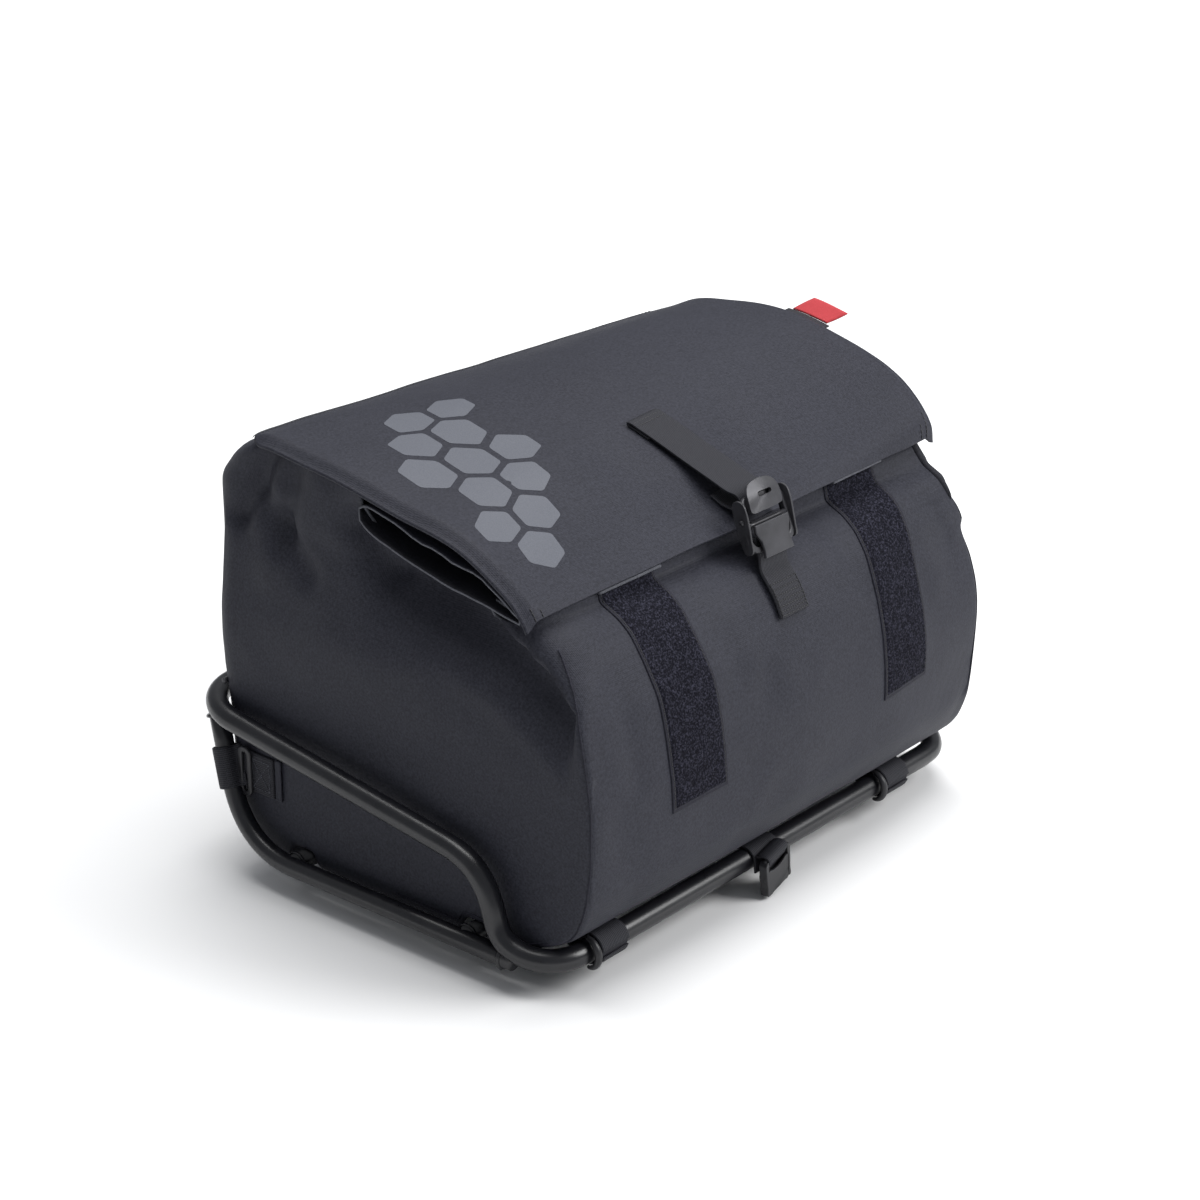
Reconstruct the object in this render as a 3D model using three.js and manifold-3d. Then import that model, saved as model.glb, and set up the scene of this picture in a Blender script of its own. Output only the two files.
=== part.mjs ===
import * as THREE from 'three';
import { mergeVertices } from 'three/addons/utils/BufferGeometryUtils.js';
import Module from 'manifold-3d';

const wasm = await Module();
wasm.setup();

// Millimetres. x runs along the front, y towards the back, z up, from the middle of the tray's base.

// Tray
const trayWidth = 408;        // between the centrelines of the two side rails
const rearOverhang = 31.5;    // the rear base corners are this far under the bag's back
const frontTubeGap = 11.1;    // from the front tube to the front edge of the bag's underside
const tubeToBag = 1;          // between the side rails and the bag's widest place
const rearRailGap = 1.5;      // between the rear rail and the bag's back
const railFrontHeight = 60;   // rail centreline above the base tubes' centreline, just behind the front bend
const railRearHeight = 88;
const frontBendRadius = 34;
const rearBendRadius = 36;
const postBendRadius = 55;
const loopDiameter = 14;
const baseDiameter = 12;
const deckBarWidth = 30;
const deckBarHeight = 18;
const deckBarWall = 2;
const deckBarSpacing = 150;
const frontCrossInset = 66;   // from the front tube to the front cross tube
const rearCrossInset = 40;    // from the rear base corners to the rear cross tube
const footHeight = 15;        // the tubes are this far above the deck bars' underside

// Bag
const bagWidth = trayWidth - loopDiameter - 2 * tubeToBag;
const bagFront = 147;         // front panel's corners, forward of the tray's middle
const bagBack = 155;
const bagHeight = 284;
const bagFootShare = 0.717;   // the underside's front edge, as a share of bagFront
const fabricThickness = 2;
const frontCornerRadius = 10;
const backCornerRadius = 22;
const flapWidth = 380;
const flapLength = 425;       // along its middle, from the back seam to the front hem
const rollWall = 2.2;
const rollInset = 4;          // the roll's ends are this far inside the end panels

// Webbing, tape and hardware
const tapeWidth = 49;
const tapeThickness = 1.6;
const tapeSpacing = 215;      // between the middles of the two strips at their top ends
const tapeLean = 5;           // and this much nearer the middle, each, at their lower ends
const topStrapWidth = 28;
const baseStrapWidth = 26;
const sideStrapWidth = 26;
const sideStrapShare = 0.875; // the strap's height above the base tubes, as a share of the post's bend radius
const sidePatchLength = 24;
const sideSliderLength = 11;
const webbingThickness = 1.5;
const baseStrapPlaces = [-156, 128];
const releasePlace = -9;
const releaseWidth = 30;
const releaseLength = 26;
const releaseThickness = 6;
const buckleWidth = 44;
const buckleLength = 34;
const buckleTilt = 68;        // degrees from lying flat
const capLength = 16;
const hookWidth = 32;
const hookTipWidth = 26;
const hookLength = 20;
const plateThickness = 3;
const pinDiameter = 3;
const tabWidth = 26;
const tabLength = 14;
const tabThickness = 1.4;
const tabPlace = 0.45;        // share of the way from the flap's seam to its hem
const strapReach = 34;        // how far the webbing round the front tube runs back under the bag
const strapTangent = 18;      // and where it leaves the tube for the bag's underside
const clearance = 0.4;

const finishes = {
  fabric: { color: 0x2e2f35, roughness: 0.85, metalness: 0 },
  tape: { color: 0x17171d, roughness: 1, metalness: 0 },
  webbing: { color: 0x26262a, roughness: 0.8, metalness: 0 },
  plastic: { color: 0x1b1b1e, roughness: 0.4, metalness: 0 },
  metal: { color: 0x202126, roughness: 0.35, metalness: 0.6 },
  tube: { color: 0x17171a, roughness: 0.42, metalness: 0.3 },
  tab: { color: 0xd23c44, roughness: 0.7, metalness: 0 },
};

const object = new THREE.Group();

function addPiece(name, geometry, finish, parent = object) {
  const mesh = new THREE.Mesh(geometry, new THREE.MeshStandardMaterial(finishes[finish]));
  mesh.name = name;
  parent.add(mesh);
  return mesh;
}

// Closed geometry from points and triangles, with its faces turned outwards
function closedGeometry(points, triangles) {
  let volume = 0;
  for (const [a, b, c] of triangles) {
    volume += points[a].dot(new THREE.Vector3().crossVectors(points[b], points[c]));
  }
  const index = triangles.flatMap(([a, b, c]) => (volume < 0 ? [a, c, b] : [a, b, c]));
  const geometry = new THREE.BufferGeometry().setFromPoints(points);
  geometry.setIndex(index);
  geometry.computeVertexNormals();
  return geometry;
}

function toSolid(geometry) {
  const bare = geometry.clone();
  bare.deleteAttribute('normal');
  bare.deleteAttribute('uv');
  const merged = mergeVertices(bare, 1e-4);
  return new wasm.Manifold(new wasm.Mesh({
    numProp: 3,
    vertProperties: new Float32Array(merged.attributes.position.array),
    triVerts: new Uint32Array(merged.index.array),
  }));
}

function fromSolid(solid) {
  const mesh = solid.getMesh();
  const geometry = new THREE.BufferGeometry();
  geometry.setAttribute('position', new THREE.BufferAttribute(new Float32Array(mesh.vertProperties), 3));
  geometry.setIndex(new THREE.BufferAttribute(new Uint32Array(mesh.triVerts), 1));
  geometry.computeVertexNormals();
  return geometry;
}

// A value read from a table of rows at a place in its first column, with straight lines between rows
function readTable(rows, key, place, column) {
  if (place <= rows[0][key]) return rows[0][column];
  const next = rows.findIndex((row) => row[key] >= place);
  if (next < 0) return rows.at(-1)[column];
  const low = rows[next - 1];
  const high = rows[next];
  return THREE.MathUtils.mapLinear(place, low[key], high[key], low[column], high[column]);
}

// Closed surface through rings of equal length, with a point at each end
function wrapRings(startPole, rings, endPole) {
  const count = rings[0].length;
  const points = [startPole, ...rings.flat(), endPole];
  const at = (ring, step) => 1 + ring * count + (step % count);
  const triangles = [];
  for (let step = 0; step < count; step++) {
    triangles.push([0, at(0, step + 1), at(0, step)]);
    for (let ring = 0; ring < rings.length - 1; ring++) {
      triangles.push([at(ring, step), at(ring, step + 1), at(ring + 1, step + 1)]);
      triangles.push([at(ring, step), at(ring + 1, step + 1), at(ring + 1, step)]);
    }
    triangles.push([points.length - 1, at(rings.length - 1, step), at(rings.length - 1, step + 1)]);
  }
  return closedGeometry(points, triangles);
}

// Open-ended tube: outer rings one way and inner rings back, closed on themselves
function wrapSleeve(outerRings, innerRings) {
  const rings = [...outerRings, ...innerRings.toReversed()];
  const count = rings[0].length;
  const at = (ring, step) => (ring % rings.length) * count + (step % count);
  const triangles = [];
  for (let ring = 0; ring < rings.length; ring++) {
    for (let step = 0; step < count; step++) {
      triangles.push([at(ring, step), at(ring, step + 1), at(ring + 1, step + 1)]);
      triangles.push([at(ring, step), at(ring + 1, step + 1), at(ring + 1, step)]);
    }
  }
  return closedGeometry(rings.flat(), triangles);
}

// Sheet of even thickness on a grid of points; lift moves it along its normals
function sheet(grid, thickness, lift = 0) {
  const rows = grid.length;
  const columns = grid[0].length;
  const normalAt = (row, column) => {
    const down = new THREE.Vector3().subVectors(
      grid[Math.min(row + 1, rows - 1)][column], grid[Math.max(row - 1, 0)][column]);
    const across = new THREE.Vector3().subVectors(
      grid[row][Math.min(column + 1, columns - 1)], grid[row][Math.max(column - 1, 0)]);
    return new THREE.Vector3().crossVectors(down, across).normalize();
  };
  const layer = (offset) => grid.flatMap((line, row) => line.map(
    (point, column) => point.clone().addScaledVector(normalAt(row, column), offset)));
  const points = [...layer(lift), ...layer(lift + thickness)];
  const at = (row, column, upper) => upper * rows * columns + row * columns + column;
  const triangles = [];
  const quad = (a, b, c, d) => triangles.push([a, b, c], [a, c, d]);
  for (let row = 0; row < rows - 1; row++) {
    for (let column = 0; column < columns - 1; column++) {
      quad(at(row, column, 1), at(row + 1, column, 1), at(row + 1, column + 1, 1), at(row, column + 1, 1));
      quad(at(row, column, 0), at(row, column + 1, 0), at(row + 1, column + 1, 0), at(row + 1, column, 0));
    }
    quad(at(row, 0, 0), at(row + 1, 0, 0), at(row + 1, 0, 1), at(row, 0, 1));
    const edge = columns - 1;
    quad(at(row, edge, 0), at(row, edge, 1), at(row + 1, edge, 1), at(row + 1, edge, 0));
  }
  for (let column = 0; column < columns - 1; column++) {
    quad(at(0, column, 0), at(0, column, 1), at(0, column + 1, 1), at(0, column + 1, 0));
    const hem = rows - 1;
    quad(at(hem, column, 0), at(hem, column + 1, 0), at(hem, column + 1, 1), at(hem, column, 1));
  }
  return closedGeometry(points, triangles);
}

// A route whose every listed point becomes one step of the extrusion
class StepCurve extends THREE.Curve {
  constructor(points) {
    super();
    this.points = points;
  }

  getPoint(share, target = new THREE.Vector3()) {
    const place = THREE.MathUtils.clamp(share, 0, 1) * (this.points.length - 1);
    const step = Math.min(Math.floor(place), this.points.length - 2);
    return target.lerpVectors(this.points[step], this.points[step + 1], place - step);
  }

  getUtoTmapping(share) {
    return share;
  }
}

function tubeAlong(points, diameter, sides = 12) {
  const outline = Array.from({ length: sides }, (_, side) => {
    const angle = (side / sides) * 2 * Math.PI;
    return new THREE.Vector2(Math.cos(angle), Math.sin(angle)).multiplyScalar(diameter / 2);
  });
  return new THREE.ExtrudeGeometry(new THREE.Shape(outline), {
    steps: points.length - 1, extrudePath: new StepCurve(points), bevelEnabled: false,
  });
}

// Flat band of webbing along a route in the y-z plane, centred on x = place, rising across by its slope
function ribbon(route, place, width, thickness = webbingThickness, slope = 0) {
  const side = (step, sign) => {
    const before = route[Math.max(step - 1, 0)];
    const after = route[Math.min(step + 1, route.length - 1)];
    const run = new THREE.Vector2().subVectors(after, before).normalize();
    return new THREE.Vector2(-run.y, run.x).multiplyScalar(sign * thickness / 2).add(route[step]);
  };
  const outline = [
    ...route.map((_, step) => side(step, 1)),
    ...route.map((_, step) => side(step, -1)).reverse(),
  ];
  const geometry = new THREE.ExtrudeGeometry(new THREE.Shape(outline), { depth: width, bevelEnabled: false });
  geometry.translate(0, 0, -width / 2);
  geometry.applyMatrix4(new THREE.Matrix4().set(0, 0, 1, place, 1, 0, 0, 0, 0, 1, slope, 0, 0, 0, 0, 1));
  return geometry;
}

function arcRoute(centerY, centerZ, radius, fromDegrees, toDegrees, steps) {
  return Array.from({ length: steps + 1 }, (_, step) => {
    const angle = THREE.MathUtils.degToRad(THREE.MathUtils.lerp(fromDegrees, toDegrees, step / steps));
    return new THREE.Vector2(centerY + radius * Math.cos(angle), centerZ + radius * Math.sin(angle));
  });
}

// Tray frame

const loopHeight = footHeight + loopDiameter / 2;
const baseHeight = footHeight + baseDiameter / 2;
const railX = trayWidth / 2;
const frontY = -bagFront * bagFootShare - frontTubeGap - loopDiameter / 2;
const rearBaseY = bagBack - rearOverhang;
const rearRailY = bagBack + rearRailGap + loopDiameter / 2;

// Front bend and rise of the loop on its left side: shares of the bend radius and of the rail's rise
const frontBend = [
  { x: 1, y: 0, z: 0 },
  { x: 0.62, y: 0.06, z: 0 },
  { x: 0.3, y: 0.26, z: 0.01 },
  { x: 0.09, y: 0.57, z: 0.05 },
  { x: 0, y: 0.9, z: 0.14 },
  { x: 0, y: 1.1, z: 0.27 },
  { x: 0, y: 1.24, z: 0.5 },
  { x: 0, y: 1.4, z: 0.68 },
  { x: 0, y: 1.66, z: 0.83 },
  { x: 0, y: 2.02, z: 0.92 },
  { x: 0, y: 2.5, z: 0.97 },
];

function loopSide(sign) {
  const bend = new THREE.CatmullRomCurve3(frontBend.map((row) => new THREE.Vector3(
    sign * (railX - row.x * frontBendRadius),
    frontY + row.y * frontBendRadius,
    loopHeight + row.z * railFrontHeight)), false, 'centripetal').getPoints(20);
  const rearBend = Array.from({ length: 9 }, (_, step) => {
    const angle = (step / 8) * Math.PI / 2;
    return new THREE.Vector3(
      sign * (railX - rearBendRadius * (1 - Math.cos(angle))),
      rearRailY - rearBendRadius * (1 - Math.sin(angle)),
      loopHeight + railRearHeight - 5 * (1 - Math.sin(angle)));
  });
  const overlap = -sign;  // each half runs this far past the middle, so that the two join
  return tubeAlong([
    new THREE.Vector3(overlap, frontY, loopHeight), ...bend, ...rearBend,
    new THREE.Vector3(overlap, rearRailY, loopHeight + railRearHeight),
  ], loopDiameter);
}

const postTop = (sign) => new THREE.Vector3(
  sign * (railX - 0.25 * rearBendRadius), rearRailY - 0.32 * rearBendRadius, loopHeight + railRearHeight - 3);
const postFoot = (sign) => new THREE.Vector3(sign * railX, rearBaseY, baseHeight);

function postRoute(sign) {
  const top = postTop(sign);
  const corner = postFoot(sign);
  const frontEnd = new THREE.Vector3(sign * railX, frontY + 0.75 * frontBendRadius, baseHeight);
  const reach = 0.8 * postBendRadius;
  const bendStart = corner.clone().lerp(frontEnd, reach / corner.distanceTo(frontEnd));
  const bendEnd = corner.clone().lerp(top, reach / corner.distanceTo(top));
  return [frontEnd, ...new THREE.QuadraticBezierCurve3(bendStart, corner, bendEnd).getPoints(9), top];
}

// Middle of the leaning rear post at a height
function postAt(sign, height) {
  const foot = postFoot(sign);
  const top = postTop(sign);
  return foot.clone().lerp(top, (height - foot.z) / (top.z - foot.z));
}

const crossTubePlaces = [frontY + frontCrossInset, rearBaseY - rearCrossInset];

function buildTrayFrame() {
  const parts = [-1, 1].flatMap((sign) => [loopSide(sign), tubeAlong(postRoute(sign), baseDiameter)]);
  for (const y of crossTubePlaces) {
    const ends = [-railX, railX].map((x) => new THREE.Vector3(x, y, baseHeight));
    parts.push(tubeAlong(ends, baseDiameter));
  }
  const tubes = parts.map(toSolid).reduce((sum, part) => sum.add(part));
  const barLength = crossTubePlaces[1] - crossTubePlaces[0] + deckBarWidth;
  const barMiddle = (crossTubePlaces[0] + crossTubePlaces[1]) / 2;
  const boreWidth = deckBarWidth - 2 * deckBarWall;
  const boreHeight = deckBarHeight - 2 * deckBarWall - 2;
  const bars = [-1, 1].map((sign) => {
    const middle = [sign * deckBarSpacing / 2, barMiddle, deckBarHeight / 2];
    const bar = new THREE.BoxGeometry(deckBarWidth, barLength, deckBarHeight).translate(...middle);
    const hollow = new THREE.BoxGeometry(boreWidth, barLength + 2, boreHeight).translate(...middle);
    return toSolid(bar).subtract(toSolid(hollow));
  });
  return fromSolid(bars.reduce((sum, bar) => sum.add(bar), tubes));
}

addPiece('tray_frame', buildTrayFrame(), 'tube');

// Bag body: sections at heights above the bag's underside, as shares of the bag's height, front and back
// reach and half width, with the front and rear corners' radius as shares and the belly as the extra reach
// of the front's middle

const bagBottom = footHeight + baseDiameter + clearance;
const bodySections = [
  { height: 0, front: bagFootShare, belly: 0, back: 0.82, side: 0.972, corner: 0.8, rear: 0.4 },
  { height: 0.006, front: 0.766, belly: 0, back: 0.84, side: 0.982, corner: 1.1, rear: 0.45 },
  { height: 0.02, front: 0.821, belly: 0, back: 0.855, side: 0.985, corner: 1.2, rear: 0.5 },
  { height: 0.044, front: 0.89, belly: 0.014, back: 0.872, side: 0.986, corner: 1.2, rear: 0.5 },
  { height: 0.076, front: 0.934, belly: 0.034, back: 0.88, side: 0.987, corner: 1.1, rear: 0.75 },
  { height: 0.15, front: 0.979, belly: 0.062, back: 0.923, side: 0.988, corner: 1, rear: 1 },
  { height: 0.249, front: 0.997, belly: 0.062, back: 0.968, side: 0.989, corner: 1, rear: 1 },
  { height: 0.326, front: 1, belly: 0.055, back: 0.994, side: 0.99, corner: 1, rear: 1 },
  { height: 0.379, front: 0.993, belly: 0.048, back: 1, side: 0.995, corner: 1, rear: 1 },
  { height: 0.499, front: 0.962, belly: 0.028, back: 1, side: 1, corner: 1, rear: 1 },
  { height: 0.569, front: 0.924, belly: 0.007, back: 1, side: 0.99, corner: 1, rear: 1 },
  { height: 0.625, front: 0.855, belly: 0, back: 1, side: 0.98, corner: 1, rear: 1 },
  { height: 0.654, front: 0.786, belly: 0, back: 1, side: 0.975, corner: 1, rear: 1 },
  { height: 0.682, front: 0.69, belly: 0, back: 1, side: 0.97, corner: 1, rear: 1 },
  { height: 0.787, front: 0.662, belly: 0, back: 1, side: 0.965, corner: 1, rear: 1 },
  { height: 0.837, front: 0.655, belly: 0, back: 0.948, side: 0.96, corner: 1, rear: 1 },
  { height: 0.872, front: 0.655, belly: 0, back: 0.871, side: 0.96, corner: 1, rear: 1 },
  { height: 0.896, front: 0.655, belly: 0, back: 0.768, side: 0.955, corner: 1, rear: 1 },
  { height: 0.905, front: 0.655, belly: 0, back: 0.684, side: 0.955, corner: 1, rear: 1 },
];

// Height of the mouth's rim, from the front (-1) to the back (1)
const mouthRim = [
  { place: -1, height: 0.682 },
  { place: -0.8, height: 0.678 },
  { place: -0.5, height: 0.689 },
  { place: 0, height: 0.727 },
  { place: 0.19, height: 0.763 },
  { place: 0.3, height: 0.794 },
  { place: 0.4, height: 0.858 },
  { place: 0.6, height: 0.882 },
  { place: 0.8, height: 0.893 },
  { place: 1, height: 0.905 },
];

const rimFall = 0.035;        // share of the height by which the rim's back is lower at its right end

// Dents of the end panels: places along the depth and up the height, reach each way and depth
const endDents = [
  { place: -0.2, height: 0.655, reach: 0.42, rise: 0.1, depth: 12 },
  { place: -0.78, height: 0.53, reach: 0.12, rise: 0.06, depth: 6 },
];

const sectionAt = (height, column) => readTable(bodySections, 'height', height, column);
const bodyZ = (height) => bagBottom + height * bagHeight;

// Dents (and swellings, with a minus sign) of the front panel
const frontDents = [
  { place: -0.5, height: 0.587, reach: 0.35, rise: 0.045, depth: 7 },
  { place: 1, height: 0.665, reach: 0.4, rise: 0.04, depth: -9 },
];

function dentAt(dents, place, height) {
  return dents.reduce((sum, dent) => sum + dent.depth * Math.exp(
    -(((place - dent.place) / dent.reach) ** 2) - ((height - dent.height) / dent.rise) ** 2), 0);
}

// Distance of the front panel forward of the tray's middle, at a share of the half width
function frontReach(height, side) {
  const smooth = bagFront * (sectionAt(height, 'front') + sectionAt(height, 'belly') * (1 - side * side));
  return smooth - dentAt(frontDents, side, height);
}

// Rounded rectangle of half size 1, as points with their place on the front-to-back line
function roundedOutline(halfWidth, halfDepth, frontRadius, backRadius, straightSteps, cornerSteps) {
  const points = [];
  const corners = [[1, -1], [1, 1], [-1, 1], [-1, -1]];
  const radiusAt = (y) => (y < 0 ? frontRadius : backRadius);
  corners.forEach(([x, y], corner) => {
    const radius = radiusAt(y);
    const center = new THREE.Vector2(x * (halfWidth - radius), y * (halfDepth - radius));
    for (let step = 0; step <= cornerSteps; step++) {
      const angle = (corner - 1 + step / cornerSteps) * Math.PI / 2;
      const spoke = new THREE.Vector2(Math.cos(angle), Math.sin(angle));
      points.push(center.clone().addScaledVector(spoke, radius));
    }
    const next = corners[(corner + 1) % 4];
    const from = points.at(-1).clone();
    const to = new THREE.Vector2(next[0] * (halfWidth - (y === next[1] ? radius : 0)),
      next[1] * (halfDepth - (x === next[0] ? radiusAt(next[1]) : 0)));
    for (let step = 1; step < straightSteps; step++) {
      points.push(from.clone().lerp(to, step / straightSteps));
    }
  });
  return points.map((point) => new THREE.Vector2(point.x / halfWidth, point.y / halfDepth));
}

function bodyRing(share) {
  const level = (place) => share * readTable(mouthRim, 'place', place, 'height');
  const frontRadius = frontCornerRadius * sectionAt(level(0), 'corner');
  const backRadius = backCornerRadius * sectionAt(level(0), 'rear');
  const outline = roundedOutline(bagWidth / 2, (bagFront + bagBack) / 2, frontRadius, backRadius, 12, 4);
  return outline.map(({ x, y }) => {
    const height = level(y);
    const fall = share * rimFall * Math.max(0, y) * (x + 1) / 2;
    const half = bagWidth / 2 * sectionAt(height, 'side');
    const depth = y < 0 ? frontReach(height, x) : bagBack * sectionAt(height, 'back');
    const point = new THREE.Vector3(x * half, y * depth, bodyZ(height - fall));
    point.x -= Math.sign(x) * Math.max(0, Math.abs(x) * 8 - 7) * dentAt(endDents, y, height);
    return point;
  });
}

const wallShares = [
  0, 0.008, 0.025, 0.06, 0.12, 0.22, 0.33, 0.45, 0.57, 0.67, 0.76, 0.83, 0.88, 0.92, 0.95, 0.975, 1,
];

function buildBody() {
  const wall = wallShares.map(bodyRing);
  const floor = [0.35, 0.75].map((scale) => wall[0].map((point) => new THREE.Vector3(
    point.x * scale, point.y * scale, point.z)));
  const outer = [...floor, ...wall];
  const inner = outer.map((ring, level) => ring.map((point, step) => {
    const below = outer[Math.max(level - 1, 0)][step];
    const above = outer[Math.min(level + 1, outer.length - 1)][step];
    const before = ring[(step + ring.length - 1) % ring.length];
    const after = ring[(step + 1) % ring.length];
    const up = new THREE.Vector3().subVectors(above, below);
    const round = new THREE.Vector3().subVectors(after, before);
    return point.clone().addScaledVector(up.cross(round).normalize(), fabricThickness);
  }));
  return wrapRings(
    new THREE.Vector3(0, 0, bagBottom),
    [...outer, ...inner.toReversed()],
    new THREE.Vector3(0, 0, bagBottom + fabricThickness));
}

addPiece('bag_body', buildBody(), 'fabric');

// Flap: sections from the seam over the back edge to the front hem, as shares of the bag's reach and height,
// at the left edge, the middle and the right edge

const flapSections = [
  { leftY: 0.8, leftZ: 0.894, middleY: 0.8, middleZ: 0.877, rightY: 0.787, rightZ: 0.861 },
  { leftY: 0.684, leftZ: 0.909, middleY: 0.677, middleZ: 0.895, rightY: 0.645, rightZ: 0.893 },
  { leftY: 0.503, leftZ: 0.9, middleY: 0.503, middleZ: 0.911, rightY: 0.49, rightZ: 0.93 },
  { leftY: 0.327, leftZ: 0.885, middleY: 0.323, middleZ: 0.914, rightY: 0.335, rightZ: 0.942 },
  { leftY: 0.023, leftZ: 0.855, middleY: 0.032, middleZ: 0.895, rightY: 0.045, rightZ: 0.949 },
  { leftY: -0.286, leftZ: 0.825, middleY: -0.163, middleZ: 0.872, rightY: -0.272, rightZ: 0.916 },
  { leftY: -0.449, leftZ: 0.785, middleY: -0.408, middleZ: 0.823, rightY: -0.469, rightZ: 0.881 },
  { leftY: -0.592, leftZ: 0.736, middleY: -0.571, middleZ: 0.77, rightY: -0.602, rightZ: 0.837 },
  { leftY: -0.643, leftZ: 0.706, middleY: -0.69, middleZ: 0.738, rightY: -0.704, rightZ: 0.773 },
  { leftY: -0.663, leftZ: 0.69, middleY: -0.73, middleZ: 0.72, rightY: -0.718, rightZ: 0.731 },
];

// Smooth curve of one edge or the middle of the flap, as (y, z) points with x unused
function flapCurve(name) {
  return new THREE.CatmullRomCurve3(flapSections.map((row) => {
    const y = row[`${name}Y`];
    return new THREE.Vector3(0, y * (y < 0 ? bagFront : bagBack), bodyZ(row[`${name}Z`]));
  }), false, 'centripetal');
}

const flapCurves = { left: flapCurve('left'), middle: flapCurve('middle'), right: flapCurve('right') };

// Point of the flap's underside: along from the seam (0) to the hem (1), across from left (-1) to right (1)
function flapPoint(along, across) {
  const left = flapCurves.left.getPoint(along);
  const middle = flapCurves.middle.getPoint(along);
  const right = flapCurves.right.getPoint(along);
  return new THREE.Vector3()
    .addScaledVector(left, across * (across - 1) / 2)
    .addScaledVector(middle, 1 - across * across)
    .addScaledVector(right, across * (across + 1) / 2)
    .setX(across * flapWidth / 2);
}

const flapGrid = Array.from({ length: 23 }, (_, row) => Array.from(
  { length: 13 }, (_, column) => flapPoint(row / 22, column / 6 - 1)));

addPiece('flap', sheet(flapGrid, fabricThickness), 'fabric');

// Route over the flap in the y-z plane: shares along it and the lift off its outer face
function overFlap(along, lift, across = 0) {
  const point = flapPoint(along, across);
  const before = flapPoint(along - 0.005, across);
  const after = flapPoint(along + 0.005, across);
  const normal = new THREE.Vector2(after.z - before.z, before.y - after.y).normalize();
  return new THREE.Vector2(point.y, point.z).addScaledVector(normal, fabricThickness + lift);
}

// Roll: a flattened tube of fabric under the flap, by places from back to front with its lower and upper face
// at the left end, and how much thicker it is towards the right

const rollSections = [
  { place: 0.2, lower: 0.812, upper: 0.833 },
  { place: 0.142, lower: 0.787, upper: 0.845 },
  { place: -0.068, lower: 0.743, upper: 0.808 },
  { place: -0.156, lower: 0.729, upper: 0.794 },
  { place: -0.34, lower: 0.711, upper: 0.77 },
  { place: -0.415, lower: 0.703, upper: 0.761 },
  { place: -0.585, lower: 0.686, upper: 0.708 },
  { place: -0.626, lower: 0.6825, upper: 0.698 },
];
const rollHalfWidth = bagWidth / 2 - rollInset;

function rollRing(across, inset) {
  const rows = rollSections.map(({ place, lower, upper }) => {
    const y = place * (place < 0 ? bagFront : bagBack);
    const roof = 1 + 0.5 * (across + 1) / 2 * THREE.MathUtils.clamp((0.25 - place) * 1.4, 0, 1);
    const low = bodyZ(lower);
    const high = low + (upper - lower) * bagHeight * roof;
    const middle = (low + high) / 2;
    const thin = Math.min(inset, (high - low) / 2 - 1.2);
    return { y, low: Math.min(middle, low + thin), high: Math.max(middle, high - thin) };
  });
  if (inset > 0) {
    const first = rows[0];
    const last = rows.at(-1);
    first.y -= inset;
    last.y += inset * 1.6;
  }
  const x = across * rollHalfWidth;
  return [
    ...rows.map(({ y, high }) => new THREE.Vector3(x, y, high)),
    ...rows.toReversed().map(({ y, low }) => new THREE.Vector3(x, y, low)),
  ];
}

const rollPlaces = [-1, -0.85, -0.5, 0, 0.5, 0.85, 1];
addPiece('roll_closure', wrapSleeve(
  rollPlaces.map((across) => rollRing(across, 0)),
  rollPlaces.map((across) => rollRing(across, rollWall))), 'fabric');

// Loop tape on the front panel

const tapeFoot = 0.266;

function panelPoint(height, x) {
  return new THREE.Vector3(x, -frontReach(height, x / (bagWidth / 2)), bodyZ(height));
}

for (const [side, sign] of [['left', -1], ['right', 1]]) {
  const rim = mouthRim[0].height;
  const heights = wallShares.map((share) => share * rim).filter((height) => height > tapeFoot + 0.01);
  const grid = [tapeFoot, ...heights].toReversed().map((height) => Array.from({ length: 5 }, (_, column) => {
    const middle = tapeSpacing / 2 - tapeLean * (rim - height) / (rim - tapeFoot);
    return panelPoint(height, sign * middle + (column / 4 - 0.5) * tapeWidth);
  }));
  addPiece(`loop_strip_${side}`, sheet(grid, tapeThickness, 0.6), 'tape');
}

// Buckle: its own frame lies in the plane that leans back with the flap's front

const buckle = new THREE.Group();
buckle.position.set(0, -0.803 * bagFront, bodyZ(0.735));
buckle.rotation.x = THREE.MathUtils.degToRad(buckleTilt);
buckle.updateMatrixWorld();
object.add(buckle);

function roundedPlate(width, length, radius, hole) {
  const trace = (path, halfWidth, halfLength, round) => {
    path.absarc(halfWidth - round, halfLength - round, round, 0, Math.PI / 2);
    path.absarc(round - halfWidth, halfLength - round, round, Math.PI / 2, Math.PI);
    path.absarc(round - halfWidth, round - halfLength, round, Math.PI, 1.5 * Math.PI);
    path.absarc(halfWidth - round, round - halfLength, round, 1.5 * Math.PI, 2 * Math.PI);
    path.closePath();
    return path;
  };
  const shape = trace(new THREE.Shape(), width / 2, length / 2, radius);
  if (hole) shape.holes.push(trace(new THREE.Path(), hole.width / 2, hole.length / 2, hole.radius));
  return shape;
}

const plate = (shape, depth, y, z) => new THREE.ExtrudeGeometry(
  shape, { depth, bevelEnabled: false, curveSegments: 4 }).translate(0, y, z);

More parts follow.
